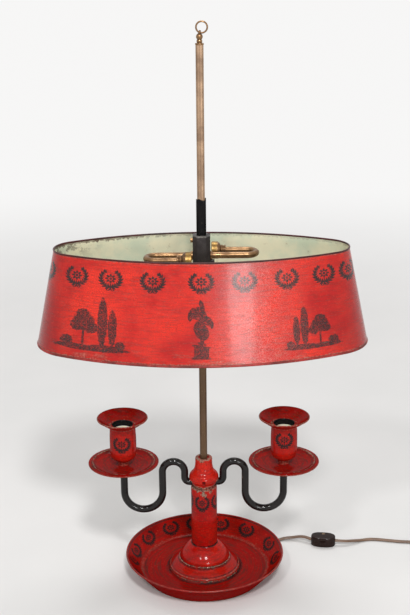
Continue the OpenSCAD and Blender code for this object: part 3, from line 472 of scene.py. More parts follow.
def makeAgedMetal():
    # metal or dark finish with tarnish clouds, scratches and bright rubbed spots
    tree, given, out = makeGroup("agedMetal", {
        "Vector": None, "Colour": (0.5, 0.4, 0.2), "Tarnish": (0.1, 0.07, 0.04),
        "Rubbed": (0.8, 0.7, 0.5), "Age": 0.5, "Gloss": 0.3},
        ["Colour", "Roughness", "Height"])
    place, age = given["Vector"], given["Age"]
    clouds = place.noise(60, 5, 0.65)
    grain = place.noise(700, 3, 0.6)
    lines = place.mapped(scale=(1, 1, 0.06)).noise(1500, 2, 0.5)
    dull = clouds.ramp(0.35, 0.68) * age
    bright = grain.ramp(0.6, 0.76) * clouds.ramp(0.6, 0.45) * age
    feed(out, {
        "Colour": bright.mix(dull.mix(given["Colour"], given["Tarnish"]), given["Rubbed"]),
        "Roughness": given["Gloss"] + (dull * 0.25 + lines * 0.08),
        "Height": grain * 0.4 + lines * 0.3})
    return tree


groveShapes = [
    ("oval", 0, -1, 37, 2.6), ("oval", -15, 0.8, 18, 2.6), ("oval", 17, 0, 19, 2.4),
    ("oval", -21, 20, 4.4, 17), ("oval", -11, 25, 5, 23), ("box", 8, 9, 1.2, 9),
    ("oval", 8, 24, 11, 9), ("oval", 0.5, 19, 7, 6), ("oval", 15, 20, 7, 5.5),
    ("oval", 9, 31, 7, 5), ("oval", 25, 4.5, 7, 5), ("oval", -29, 4, 5, 4),
]
urnShapes = [
    ("box", 0, 6.5, 7.4, 6), ("box", 0, 13, 9, 0.9), ("box", 0, 0.6, 9.4, 1),
    ("oval", 0, 15.6, 4.6, 1.7), ("oval", 0, 19, 1.9, 4), ("oval", 0, 29, 7.8, 9.4),
    ("box", 0, 38.6, 8.8, 0.9), ("oval", 0, 46, 6.4, 6.6), ("oval", -7, 44, 4.6, 4.4),
    ("oval", 7, 44, 4.6, 4.4), ("oval", 0, 55, 3, 5.4), ("oval", -11, 40, 2.2, 4.6),
    ("oval", 11, 40, 2.2, 4.6),
]
wornLine = makeWornLine()
laurelWreath = makeWreath()
grove = makeSilhouette("treeGrove", groveShapes, 0.75)
urn = makeSilhouette("gardenUrn", urnShapes, 0.32)
tolePaint = makeTolePaint()
agedMetal = makeAgedMetal()


# Finishes
def nearestOf(value, places, low, high):
    # the nearest of the listed places, as a stepped ramp of up to 32 steps
    ramp = addNode(value.tree, "ValToRGB", {0: value.ramp(low, high, kind="LINEAR")})
    stops = ramp.color_ramp
    stops.interpolation = "CONSTANT"
    places = sorted(places)
    bounds = [low] + [(a + b) / 2 for a, b in zip(places, places[1:])]
    for i, (start, place) in enumerate(zip(bounds, places)):
        at = (start - low) / (high - low)
        stop = stops.elements.new(at) if i else stops.elements[0]
        stop.position = at
        stop.color = (*[(place - low) / (high - low)] * 3, 1)
    stops.elements.remove(stops.elements[len(stops.elements) - 1])
    return Wire(ramp.outputs[0]) * (high - low) + low


def wornMask(place, distance, width, amount):
    return useGroup(wornLine, {"Vector": place, "Width": width, "Amount": amount,
                               "Distance": distance})["Mask"]


def wreathMask(across, up, size):
    return useGroup(laurelWreath, {"X": across / (size[0] * mm),
                                   "Y": up / (size[1] * mm)})["Mask"]


def linkFinish(shader, finish, strength, distance, colour=None):
    feed(shader, {"Base Color": colour or finish["Colour"],
                  "Roughness": finish["Roughness"],
                  "Normal": finish["Height"].bump(strength, distance)})


def lineMasks(place, radius, z, rows):
    # rows of ("radius", "height" or "spot", place, width, amount) in millimetres
    masks = []
    for kind, at, width, amount in rows:
        if kind == "spot":
            away = place.reach("DISTANCE", Vector(at) * mm)
        else:
            away = (radius if kind == "radius" else z) - at * mm
        masks.append(wornMask(place, away, width * mm, amount))
    return masks


def turnedPaint(name, wornAt=(), inkAt=(), wreaths=None, centreX=0.0, rub=0.4,
                shade=0.35, polish=1.0):
    # red lacquer on a turned piece, its streaks running round
    material, place, shader = newMaterial(name, coat=0.17 * polish, coatRoughness=0.13,
                                          specular=0.0)
    place = place.mapped((-centreX * mm, 0, 0))
    x, y, z = place.xyz()
    radius = (x * x + y * y).calc("SQRT")
    wear = lineMasks(place, radius, z, wornAt)
    # dark lines: painted bands and dark joints, and on some pieces painted shade in creases and
    # under edges
    ink = lineMasks(place, radius, z, inkAt)
    angle = y.calc("ARCTAN2", x) * (180 / math.pi)
    if wreaths:
        near = nearestOf(angle, wreaths["angles"], -180.0, 180.0)
        ink.append(wreathMask((angle - near) * (wreaths["radius"] * mm * math.pi / 180),
                              (z - wreaths["height"] * mm) * wreaths["slant"],
                              wreaths["size"]))
    paint = useGroup(tolePaint, {
        "Vector": place, "Brushed": combined(radius * 9, angle * 0.0007, z * 9),
        "Rub": rub, "Shade": shade, "OrnamentAndShade": largest(ink or [0.0]),
        "Wear": largest(wear or [0.0])})
    linkFinish(shader, paint, 0.35, 0.0004)
    return material


def aged(place, colour, tarnish, rubbed, age, gloss):
    return useGroup(agedMetal, {"Vector": place, "Colour": colour, "Tarnish": tarnish,
                                "Rubbed": rubbed, "Age": age, "Gloss": gloss})


def metalFinish(name, *look, metallic=1.0, **constants):
    material, place, shader = newMaterial(name, metallic, **constants)
    linkFinish(shader, aged(place, *look), 0.25, 0.0003)
    return material


def stemFinish():
    # browned copper, with painted shade: darker from the lampshade's top downward, and along the
    # middle of the front and back faces
    material, place, shader = newMaterial("stemCopper", 0.55, specular=0.4)
    x, _, z = place.xyz()
    # painted shade: darker from the lampshade's top down
    colour = z.ramp(0.40, 0.30).mix((0.37, 0.24, 0.15), (0.115, 0.066, 0.032))
    # painted shade down the middle of the front and back faces
    colour = (abs(x).ramp(0.0011, 0.0006) * 0.35).mix(colour, (0.1, 0.055, 0.03))
    linkFinish(shader, aged(place, colour, (0.12, 0.07, 0.045), (0.62, 0.44, 0.3), 0.6,
                            0.38), 0.25, 0.0003)
    return material


def blackFinish():
    # gloss black rods with a few pale chips
    material, place, shader = newMaterial("armBlack", coat=0.6, coatRoughness=0.1,
                                          specular=0.0)
    finish = aged(place, (0.006, 0.0055, 0.0055), (0.012, 0.009, 0.008),
                  (0.06, 0.045, 0.04), 0.7, 0.16)
    chips = place.noise(120, 4, 0.7).ramp(0.69, 0.73) * 0.75
    linkFinish(shader, finish, 0.2, 0.0003, chips.mix(finish["Colour"], (0.3, 0.24, 0.2)))
    return material


def ironFinish():
    # dark iron block, chipped along the middle of its top edge
    material, place, shader = newMaterial("ironDark", 0.25, specular=0.3)
    x, _, z = place.xyz()
    finish = aged(place, (0.034, 0.027, 0.026), (0.014, 0.01, 0.01), (0.15, 0.13, 0.12),
                  0.8, 0.36)
    worn = useGroup(wornLine, {
        "Vector": place, "Distance": z - slideSizes["blockTop"] * mm, "Width": 0.0009,
        "Grain": 240.0, "Amount": abs(x).ramp(0.007, 0.002, 0.08, 0.7)})["Mask"]
    linkFinish(shader, finish, 0.3, 0.0004, worn.mix(finish["Colour"], (0.42, 0.39, 0.35)))
    return material


def mouldingFinish(name, colour, gloss, speck, grain=900.0, **constants):
    # moulded plastic, rubber, wax or insulator: faint clouds and fine grain
    material, place, shader = newMaterial(name, **constants)
    clouds = place.noise(70, 4, 0.6)
    fine = place.noise(grain, 2, 0.5)
    feed(shader, {"Base Color": clouds.ramp(0.35, 0.7).mix(colour, speck),
                  "Roughness": clouds * 0.18 + gloss,
                  "Normal": (fine + clouds).bump(0.08, 0.0002)})
    return material


# the stem, and the block and sleeve that slide on it
slideSizes = {
    "stemW": 8.4, "stemCut": 1.9, "stemBore": 2.3, "stemLow": 6.1, "stemTop": 622.4,
    "stemFootR": 3.5, "slip": 0.2,  # gap between the stem and what slides on it
    "blockW": 19.3, "blockCut": 4.4, "blockLow": 352.0, "blockTop": 417.0,
    "sleeveW": 10.8, "sleeveCut": 2.3, "sleeveTop": 458.4, "ragged": 2.6,
}
finishes = {
    "tole_red": turnedPaint("toleRed"),
    "bead_dark": metalFinish(
        "beadDark", (0.06, 0.006, 0.006), (0.012, 0.005, 0.005), (0.3, 0.05, 0.04),
        0.8, 0.25, metallic=0.0, specular=0.3),
    "bead_worn": metalFinish(
        "beadWorn", (0.36, 0.025, 0.02), (0.1, 0.02, 0.016), (0.6, 0.36, 0.28),
        0.95, 0.28, metallic=0.1, specular=0.3),
    "arm_black": blackFinish(),
    "stem_copper": stemFinish(),
    "iron_dark": ironFinish(),
    "sleeve_black": metalFinish(
        "sleeveBlack", (0.005, 0.005, 0.006), (0.012, 0.01, 0.009), (0.16, 0.13, 0.1),
        0.5, 0.26, metallic=0.0, specular=0.0, coat=0.16, coatRoughness=0.16),
    "brass_old": metalFinish(
        "brassOld", (0.29, 0.17, 0.083), (0.12, 0.064, 0.034), (0.6, 0.4, 0.25), 0.9, 0.22),
    "brass_bright": metalFinish(
        "brassBright", (0.5, 0.335, 0.12), (0.2, 0.11, 0.045), (0.8, 0.62, 0.32), 0.8, 0.24),
    "holder_core": mouldingFinish("holderCore", (0.66, 0.6, 0.47), 0.4, (0.5, 0.42, 0.3)),
    "steel": metalFinish(
        "screwSteel", (0.55, 0.54, 0.52), (0.25, 0.22, 0.2), (0.8, 0.79, 0.77), 0.4, 0.25),
    "lead_wire": mouldingFinish("leadWire", (0.1, 0.05, 0.025), 0.5, (0.14, 0.08, 0.04)),
    "cord_brown": mouldingFinish(
        "cordBrown", (0.105, 0.052, 0.026), 0.32, (0.17, 0.095, 0.055), grain=1600.0,
        specular=0.55),
    "plastic_brown": mouldingFinish(
        "plasticBrown", (0.011, 0.0042, 0.003), 0.2, (0.018, 0.007, 0.005),
        specular=0.0, coat=0.4, coatRoughness=0.08),
    "wax": mouldingFinish(
        "waxIvory", (0.86, 0.82, 0.68), 0.3, (0.78, 0.7, 0.52), subsurface=0.25,
        subsurfaceScale=0.003),
}
ownFinishes = {
    "arm_hub": turnedPaint("hubRed", [("height", 113.6, 0.8, 0.9)], rub=0.7, shade=0.9),
    "switch_screw": metalFinish(
        "screwDull", (0.3, 0.22, 0.15), (0.1, 0.06, 0.04), (0.5, 0.42, 0.32), 0.7, 0.35),
}
slotOf = {part["node"]: part["material_slot"] for part in frame["record"]["subparts"]}
for name, node in nodes.items():
    slots = node.data.materials
    if not slots:
        slots.append(None)
    for i in range(len(slots)):
        slots[i] = ownFinishes.get(name, finishes[slotOf[name]])
print("finishes made,", len(finishes))

# Cord
cordSizes = {
    "width": 5.2, "thick": 2.7, "sides": 20, "groove": 0.3, "grooveW": 0.2,
    "rollFrom": 264, "rollOver": 36,  # it turns on edge before the coil
    "coilCentre": (302, 24), "coilOut": 35.3, "pitch": 2.75, "turns": 3.75,
    "lowZ": 2.95, "rise": 5.25, "riseTurns": 0.5, "turnPoints": 48,
    "exitR": 77.5, "exitZ": 1.65, "exitAngle": 36,
}
switchSizes = {
    "length": 30.0, "width": 18.0, "seam": 5.8, "height": 12.4, "square": 2.6,
    "place": (148, 58), "angle": -8, "dome": 1.9, "heel": 1.4, "lip": 0.25,
    "cordZ": 6.2, "screwY": 4.6, "screwR": 2.35, "screwDeep": 0.9,
}
plugSizes = {
    "width": 21.0, "height": 12.4, "neck": 7.2, "squareness": 0.75, "squareAt": 14,
    "angle": -90, "place": (352, 20, 6.2),
}


def polar(radius, degrees, z):
    angle = math.radians(degrees)
    return radius * math.cos(angle), radius * math.sin(angle), z


cordExit = polar(cordSizes["exitR"], cordSizes["exitAngle"], cordSizes["exitZ"])


def cordRoute():
    # (point, degrees of roll from lying flat) from the bush to the plug
    s = cordSizes
    switchMiddle = Vector((*switchSizes["place"], switchSizes["cordZ"]))
    toSwitchEnd = Vector(polar(switchSizes["length"] / 2, switchSizes["angle"], 0))
    lead = [cordExit, (72, 52.8, 1.65), (82, 60.1, 1.65), (92, 66.3, 1.65),
            (102, 69.2, 2.8), (111, 69.4, 3.6), (119, 68.1, 5.4), (126, 65.1, 6.3),
            switchMiddle - toSwitchEnd]
    run = [switchMiddle + toSwitchEnd, (170, 55.3, 5.8), (178, 56.1, 5.1),
           (187, 59.3, 3.8), (197, 63.9, 1.8), (208, 66.4, 1.65), (220, 65.1, 1.65),
           (232, 62.5, 1.65), (244, 60.1, 1.65), (256, 58.8, 1.65), (268, 58.2, 1.7),
           (280, 58.2, 2.0), (292, 58.8, 2.7), (302, 59.3, 2.95)]
    tail = [(302, 59.3, 8.2), (315, 57.6, 8.1), (327, 53.4, 6.6), (337.4, 47.2, 4.2),
            (345.3, 39.2, 3.4), (350.3, 30, 4.8), plugSizes["place"]]
    path = [(p, 90 * min(1, max(0, (p[0] - s["rollFrom"]) / s["rollOver"])))
            for p in softLine(lead, 5) + softLine(run, 5)[:-1]]
    # coil: inwards below, up, and outwards again on top
    turns, ramp = s["turns"], s["riseTurns"]
    total = 2 * turns + ramp
    count = round(total * s["turnPoints"])
    inner = s["coilOut"] - s["pitch"] * turns
    for i in range(count):
        t = total * i / count
        share = min(1, max(0, (t - turns) / ramp))
        radius = inner + s["pitch"] * max(turns - t, 0, t - turns - ramp)
        angle = math.pi / 2 - fullTurn * t
        path.append((Vector((s["coilCentre"][0] + radius * math.cos(angle),
                             s["coilCentre"][1] + radius * math.sin(angle),
                             s["lowZ"] + s["rise"] * share * share * (3 - 2 * share))), 90))
    out = softLine(tail, 6)
    return path + [(p, 90 - 90 * i / (len(out) - 1)) for i, p in enumerate(out)]


def makeCord():
    # flat twin cord with a groove along each side, ring by ring along its route
    path = cordRoute()
    points = [p for p, _ in path]
    bm = bmesh.new()
    around = bm.loops.layers.uv.new("cord")
    sides, rings, far = cordSizes["sides"], [], 0.0
    for i, (point, roll) in enumerate(path):
        ahead = (points[min(i + 1, len(points) - 1)] - points[max(i - 1, 0)]).normalized()
        side = ahead.cross(Vector((0, 0, 1))).normalized()
        up = side.cross(ahead)
        turn = Matrix.Rotation(math.radians(roll), 3, ahead)
        side, up = turn @ side * cordSizes["width"] / 2, turn @ up * cordSizes["thick"] / 2
        ring = []
        for k in range(sides):
            angle = fullTurn * (k + 0.5) / sides
            across = math.cos(angle)
            groove = 1 - cordSizes["groove"] * math.exp(-(across / cordSizes["grooveW"]) ** 2)
            ring.append(bm.verts.new((point + side * across
                                      + up * math.sin(angle) * groove) * mm))
        far += (points[i] - points[i - 1]).length if i else 0.0
        rings.append((ring, far))
    for (a, fromA), (b, fromB) in zip(rings, rings[1:]):
        for k in range(sides):
            n = (k + 1) % sides
            face = bm.faces.new((a[k], a[n], b[n], b[k]))
            for loop, at in zip(face.loops, ((k, fromA), (k + 1, fromA), (k + 1, fromB),
                                             (k, fromB))):
                loop[around].uv = (at[0] / sides, at[1] * mm)
    fillHoles(bm, sides)
    cleanMesh(bm)
    cord = finishPiece(bm, "mainsCord", "cord_lead cord_run cord_coil cord_tail",
                       "cord_brown")
    return cord, [tuple(p * mm) for p in points], rings[-1][1] * mm


mainsCord, cordPath, cordLength = makeCord()
print("cord made, %.3f m" % cordLength)

# Shade
shadeSizes = {
    "topA": 163.2, "topB": 62.9, "endR": 30.0, "spread": 22.1, "height": 105.7,
    "lowZ": 296.1, "wall": 0.9, "topBead": 1.0, "lowBead": 1.47, "rows": 12,
    "endSteps": 34, "sideSteps": 64, "dents": 0.22,
}
# ornament: distances round the top edge from the middle of the front, and below it
shadeArt = {
    "wreaths": (-332, -290, -246, -204, -178, -137, -97.5, -51.5, -0.5, 45, 91, 134, 166,
                204, 246, 290, 332, 370),
    "wreathDrop": 18.3, "wreathSize": (15.0, 12.0),
    "groves": (117, 262), "groveFoot": 93, "groveScale": (1.12, 0.9),
    "urns": (0, 367), "urnFoot": 99,
    # painted highlight on the front: its place and reach along the UV map's width, and its
    # strength
    "paintedSheenAt": 0.556, "paintedSheenReach": 0.07, "paintedSheen": 0.36,  # along the UV map's width
}
endR = shadeSizes["endR"]
endC = shadeSizes["topA"] - endR
halfDiff = shadeSizes["topB"] - endR
sideC = (endC ** 2 - halfDiff ** 2) / (2 * halfDiff)
sideR = shadeSizes["topB"] + sideC
endSweep = 2 * math.atan(sideC / endC)
sideSweep = 2 * math.atan(endC / sideC)
endMiddle = sideR * sideSweep / 2 + endR * endSweep / 2
halfRound = 2 * endMiddle
shadeTop = shadeSizes["lowZ"] + shadeSizes["height"]


def addOval(bm, section):
    # section of (offset, height) points, spun round the oval's four centres in turn
    start = -endSweep / 2
    line, edges = closedLine(bm, [
        (endC + (endR + o) * math.cos(start), (endR + o) * math.sin(start), z)
        for o, z in section])
    geom = line + edges
    for centre in ((endC, 0, 0), (0, -sideC, 0), (-endC, 0, 0), (0, sideC, 0)):
        sweep, steps = ((endSweep, shadeSizes["endSteps"]) if centre[0]
                        else (sideSweep, shadeSizes["sideSteps"]))
        geom = bmesh.ops.spin(bm, geom=geom, cent=Vector(centre) * mm, dvec=(0, 0, 0),
                              axis=(0, 0, 1), angle=sweep, steps=steps)["geom_last"]


def placeRound(x, y):
    # distance round the top edge from the middle of the front, in millimetres
    x, y = x / mm, y / mm
    for way in (1, -1):
        turn = math.atan2(y, way * x - endC)
        if way * x > endC and abs(turn) <= endSweep / 2 or way * x > endC + endR * 0.5:
            return way * (endMiddle + turn * endR)
    if y < 0:
        return math.atan2(x, sideC - y) * sideR
    along = math.atan2(x, y + sideC) * sideR
    return halfRound - along if along >= 0 else -halfRound - along


def shadeOutside():
    # red outside of the shade with its wreaths, groves and urn, a painted highlight on the front
    # and painted shade towards the ends
    material, place, shader = newMaterial("shadeRed", coat=0.12, coatRoughness=0.1,
                                          specular=0.3)
    along, below, _ = place.node("UVMap", {}, uv_map="wall").xyz()
    near = nearestOf(along, [0.5 + a * mm for a in shadeArt["wreaths"]], 0.0, 1.0)
    masks = [wreathMask(along - near, shadeArt["wreathDrop"] * mm - below,
                        shadeArt["wreathSize"])]
    # groves and urns repeat left and right of the front's middle
    fromMiddle = abs(along - 0.5)
    grow = along.ramp(0.49, 0.51, *shadeArt["groveScale"])
    for group, places, foot in ((grove, shadeArt["groves"], shadeArt["groveFoot"]),
                                (urn, shadeArt["urns"], shadeArt["urnFoot"])):
        spot = nearestOf(fromMiddle, [a * mm for a in places], 0.0, 0.5)
        masks.append(useGroup(group, {
            "X": (fromMiddle - spot) / (grow * mm), "Y": (foot * mm - below) / (grow * mm),
            "Vector": place})["Mask"])
    wear = [wornMask(place, below - at * mm, width * mm, amount)
            for at, width, amount in ((105.7, 1.0, 0.6), (0.2, 0.8, 0.3))]
    wear.append(below.ramp(0.08, 0.105)
                * place.mapped(scale=(1, 1, 4)).noise(40, 4, 0.65).ramp(0.52, 0.7) * 0.4)
    x, _, _ = place.xyz()
    # Shade here is painted shade: the red darkens towards both ends, where the oval turns from
    # the light
    paint = useGroup(tolePaint, {
        "Vector": place, "OrnamentAndShade": largest(masks), "Wear": largest(wear),
        "Brushed": place.mapped(scale=(1, 1, 9)),
        "Rub": 0.38, "Shade": abs(x).ramp(0.125, 0.18) * 0.8})
    # painted highlight: a pale pink sheen, broken into fine speckle, over the right middle of
    # the front
    paintedSheen = (abs(along - shadeArt["paintedSheenAt"]).ramp(shadeArt["paintedSheenReach"], 0.0)
             * place.noise(1250, 3, 0.7).ramp(0.46, 0.6) * shadeArt["paintedSheen"])
    linkFinish(shader, paint, 0.9, 0.0007, paintedSheen.mix(paint["Colour"], (0.72, 0.33, 0.29)))
    return material


def shadeInside():
    # pale green-cream inside, stained brown, with the paint flaked at the left end
    material, place, shader = newMaterial("shadeInside", specular=0.3)
    x, _, z = place.xyz()
    clouds = place.noise(26, 5, 0.6)
    spots = place.noise(90, 5, 0.7).ramp(0.6, 0.78) * 0.6
    sooty = place.mapped(scale=(1, 1, 0.4)).noise(14, 4, 0.6).ramp(0.5, 0.75) * 0.3
    flaked = x.ramp(-0.1, -0.17, 0.0, 0.85) * (
        z.ramp(0.372, 0.4) * place.noise(80, 6, 0.75).ramp(0.5, 0.56))
    edge = wornMask(place, z - shadeTop * mm, 0.0022, x.ramp(0.02, -0.12, 0.25, 0.9))
    tone = clouds.ramp(0.35, 0.65).mix((0.6, 0.66, 0.5), (0.8, 0.76, 0.55))
    for cover, colour in ((spots, (0.3, 0.19, 0.08)), (sooty, (0.36, 0.35, 0.24)),
                          (flaked, (0.045, 0.02, 0.012)), (edge, (0.1, 0.05, 0.03))):
        tone = cover.mix(tone, colour)
    feed(shader, {"Base Color": tone, "Roughness": clouds.ramp(0.2, 0.8, 0.55, 0.75),
                  "Normal": (clouds - flaked).bump(0.3, 0.0006)})
    return material


def makeShade():
    s = shadeSizes
    outer = [(s["spread"] * i / s["rows"], shadeTop - s["height"] * i / s["rows"])
             for i in range(s["rows"] + 1)]
    inner = [(o - s["wall"], z) for o, z in reversed(outer)]
    bm = bmesh.new()
    addOval(bm, outer + inner)
    cleanMesh(bm)
    wall = bm.loops.layers.uv.new("wall")
    for face in bm.faces:
        middle = face.calc_center_median()
        around = placeRound(middle.x, middle.y)
        centreX = max(-endC, min(endC, middle.x / mm)) * mm
        facing = face.normal.x * (middle.x - centreX) + face.normal.y * middle.y
        face.material_index = 0 if facing > 0 else 1
        for loop in face.loops:
            at = placeRound(loop.vert.co.x, loop.vert.co.y)
            if abs(at - around) > halfRound:
                at -= math.copysign(2 * halfRound, at - around)
            loop[wall].uv = (0.5 + at * mm, shadeTop * mm - loop.vert.co.z)
    for vert in bm.verts:
        # faint dents, the same on both faces of the sheet
        low = (vert.co.z / mm - s["lowZ"]) / s["height"]
        flat = Vector((vert.co.x, vert.co.y, 0)).normalized()
        reach = math.sin(math.pi * max(0, min(1, low)))
        dent = noise.noise(Vector((flat.x * 4, flat.y * 4, low * 2))) * s["dents"] * reach
        vert.co -= flat * abs(dent) * mm
    finishPiece(bm, "shadeWall", "shade_wall", "tole_red", "carriage",
                [shadeOutside(), shadeInside()])
    for name, node, slot, offset, z, radius in (
            ("shadeTopBead", "shade_top_bead", "bead_dark", -s["wall"] / 2,
             shadeTop + s["topBead"], s["topBead"]),
            ("shadeBottomBead", "shade_bottom_bead", "bead_worn",
             s["spread"] - s["wall"] / 2, s["lowZ"] - s["lowBead"], s["lowBead"])):
        bm = bmesh.new()
        addOval(bm, arcLine((offset, z), radius, 0, 330, 11))
        cleanMesh(bm)
        finishPiece(bm, name, node, slot, "carriage")


makeShade()
print("shade made")

# Foot and column
footSizes = {
    "footR": 72.0, "rimR": 93.4, "height": 25.6, "floorZ": 5.0, "sheet": 1.1,
    "bead": 1.1, "cove": 2.5, "holeR": 3.6, "decoratedFrom": 74.5,
    "stepR": 43.2, "bellR": 30.6, "bellH": 20.4,
    "columnR": 15.2, "columnH": 74, "capH": 33, "capOver": 3.35, "capSheet": 1.0,
    "slotW": 3.6, "slotH": 9.0,
}
dishWreaths = {
    "angles": (-179, -154, -128, -102, -77, -52, -27, -2, 21.5, 51.5, 76, 98, 120, 145, 168),
    "radius": 82, "height": 16.6, "slant": 1.3, "size": (12.6, 9.6),
}
stepLow = footSizes["floorZ"] + footSizes["sheet"]
bellLow = stepLow + 12.3
columnLow = bellLow + footSizes["bellH"]
columnTop = columnLow + footSizes["columnH"]
capLow = columnTop + footSizes["capOver"]
capTop = capLow + footSizes["capH"]


def makeDish():
    s = footSizes
    top, t, cove = stepLow, s["sheet"], s["cove"]

    def wallR(z):
        return s["footR"] + (s["rimR"] - s["footR"]) / s["height"] * z

    inside = [(wallR(top) - t - cove, top), (wallR(top) - t - cove * 0.35, top + 0.3),
              (wallR(top + cove * 0.4) - t, top + cove * 0.55),
              (wallR(top + cove) - t, top + cove)]
    rimLow = s["height"] - 1.2
    rim = arcLine((s["rimR"] - t / 2, s["height"]), s["bead"], 215, -35, 12)
    bm = turned([(s["holeR"], top)] + inside + [(wallR(rimLow) - t, rimLow)] + rim
                + [(wallR(rimLow), rimLow), (72.0, 0.3), (71.8, 0.0), (71.1, 0.0),
                   (wallR(s["floorZ"]) - t, s["floorZ"]), (s["holeR"], s["floorZ"])],
                steps=144)
    for face in bm.faces:
        middle = face.calc_center_median()
        outward = face.normal.x * middle.x + face.normal.y * middle.y
        if middle.z > (s["height"] - 1.0) * mm:
            face.material_index = 3
        elif (math.hypot(middle.x, middle.y) > s["decoratedFrom"] * mm
              and face.normal.z > 0.2):
            face.material_index = 0
        else:
            face.material_index = 2 if outward > 0.02 else 1
    coveWorn = ("radius", wallR(top) - t - cove * 0.5, 1.8, 0.15)
    footWorn = ("height", 0.4, 0.9, 0.7)
    finishPiece(bm, "dishBase", "base_dish", "tole_red", materials=[
        turnedPaint("dishWallRed", [coveWorn, footWorn], wreaths=dishWreaths, rub=0.6,
                    shade=1.05, polish=0.6),
        # dark rings on the floor round the step and along the fold into the wall: painted shade
        # in the creases
        turnedPaint("dishRed", [coveWorn, footWorn],
                    [("radius", 44.0, 1.2, 0.7), ("radius", wallR(top) - 5.5, 1.6, 0.35)],
                    rub=1.0, shade=1.15, polish=0.5),
        # painted shade: the downward-facing outside in a darker red, with a dark line just under
        # the rim bead
        turnedPaint("dishOutsideRed", [footWorn],
                    [("height", s["height"] - 1.6, 0.9, 0.9)], rub=0.6, shade=1.25,
                    polish=0.25),
        # the dark line low on the rim bead is painted shade under the bead
        turnedPaint("dishRimRed", [("radius", s["rimR"], 0.35, 0.3)],
                    [("height", s["height"] - 0.9, 0.6, 0.9)], rub=0.6, shade=1.1,
                    polish=2.6)])


def redPiece(bm, name, node, paint, sharpAngle=32, **looks):
    # a piece all in red lacquer, worn and lined in its own places
    finishPiece(bm, name, node, "tole_red", materials=[turnedPaint(paint, **looks)],
                sharpAngle=sharpAngle)


def makeFootMouldings():
    low, seat, t = stepLow, bellLow, footSizes["sheet"]
    stepR, bellR = footSizes["stepR"], footSizes["bellR"]
    step = ([(stepR, low), (stepR - 0.9, low + 0.9), (stepR - 1.15, low + 1.7)]
            + arcLine((39.6, low + 2.3), 2.4, 0, 51, 8)
            + [(31.4, seat - 0.15), (30.9, seat), (26.6, seat), (26.6, seat - t),
               (30.6, seat - t), (39.6, low + 2.6), (40.9, low)])
    # dark lines on the step: partly dark joints, partly painted shade under its nose and under
    # the bell's edge
    redPiece(turned(step, steps=128, edge=0.12), "footStep", "foot_step", "stepRed",
             wornAt=[("height", low + 2.0, 0.6, 0.9), ("radius", 40.9, 0.4, 0.5)],
             inkAt=[("radius", 42.9, 0.8, 1.0), ("radius", 39.6, 0.45, 0.8),
                    ("radius", 31.6, 0.5, 0.8)], rub=0.6, shade=0.8, polish=1.8)
    swell = softLine([(29.4, seat + 2.0), (28.9, seat + 5.0), (27.0, seat + 9.0),
                      (23.6, seat + 13.2), (19.6, seat + 17.0), (16.4, seat + 18.9)])
    bell = ([(bellR, seat), (bellR, seat + 0.9)]
            + arcLine((bellR - 0.5, seat + 1.0), 0.5, 20, 90, 3)
            + [(29.7, seat + 1.5), (29.5, seat + 1.7)] + swell
            + [(15.9, seat + 19.2), (15.6, columnLow), (12.3, columnLow),
               (12.3, seat + 19.2), (15.0, seat + 17.4), (25.6, seat + 8.6),
               (28.2, seat + 1.4), (29.4, seat)])
    # dark lines on the bell: at its foot partly painted shade under its edge, and a dark joint
    # where the column meets it
    redPiece(turned(bell, steps=112, edge=0.1), "columnBell", "column_bell", "bellRed",
             wornAt=[("height", seat + 1.3, 0.35, 0.9)],
             inkAt=[("height", seat + 0.3, 0.6, 1.0), ("height", seat + 2.0, 0.35, 0.9),
                    ("height", seat + 20.2, 0.8, 1.0)], rub=0.6, shade=0.65, polish=1.8)


def makeColumn():
    low, top, r, t = columnLow, columnTop, footSizes["columnR"], footSizes["sheet"]
    tube = ([(r - 0.5, low), (r - 0.1, low + 0.5), (r, low + 1.2), (r, top - 2)]
            + arcLine((r - 2, top - 2), 2, 0, 90, 6)
            + [(6.3, top), (6.3, top - t), (r - 3, top - t), (r - t, top - 3),
               (r - t, low)])
    redPiece(turned(tube, steps=112), "columnTube", "column_tube", "columnRed",
             wornAt=[("height", top - 0.4, 0.9, 0.85),
                     ("spot", (-0.5, -15.1, top - 4.6), 3.0, 1.0),
                     ("spot", (-7.5, -13.2, top - 1.6), 2.3, 0.9),
                     ("spot", (8.0, -12.9, top - 1.9), 2.0, 0.9)],
             inkAt=[("height", low + 0.2, 0.9, 1.0)],
             wreaths={"angles": (-179, -99, -22, 81), "radius": r, "height": top - 16.6,
                      "slant": 1.0, "size": (10.4, 11.0)},
             rub=0.6, shade=0.6, polish=1.6)


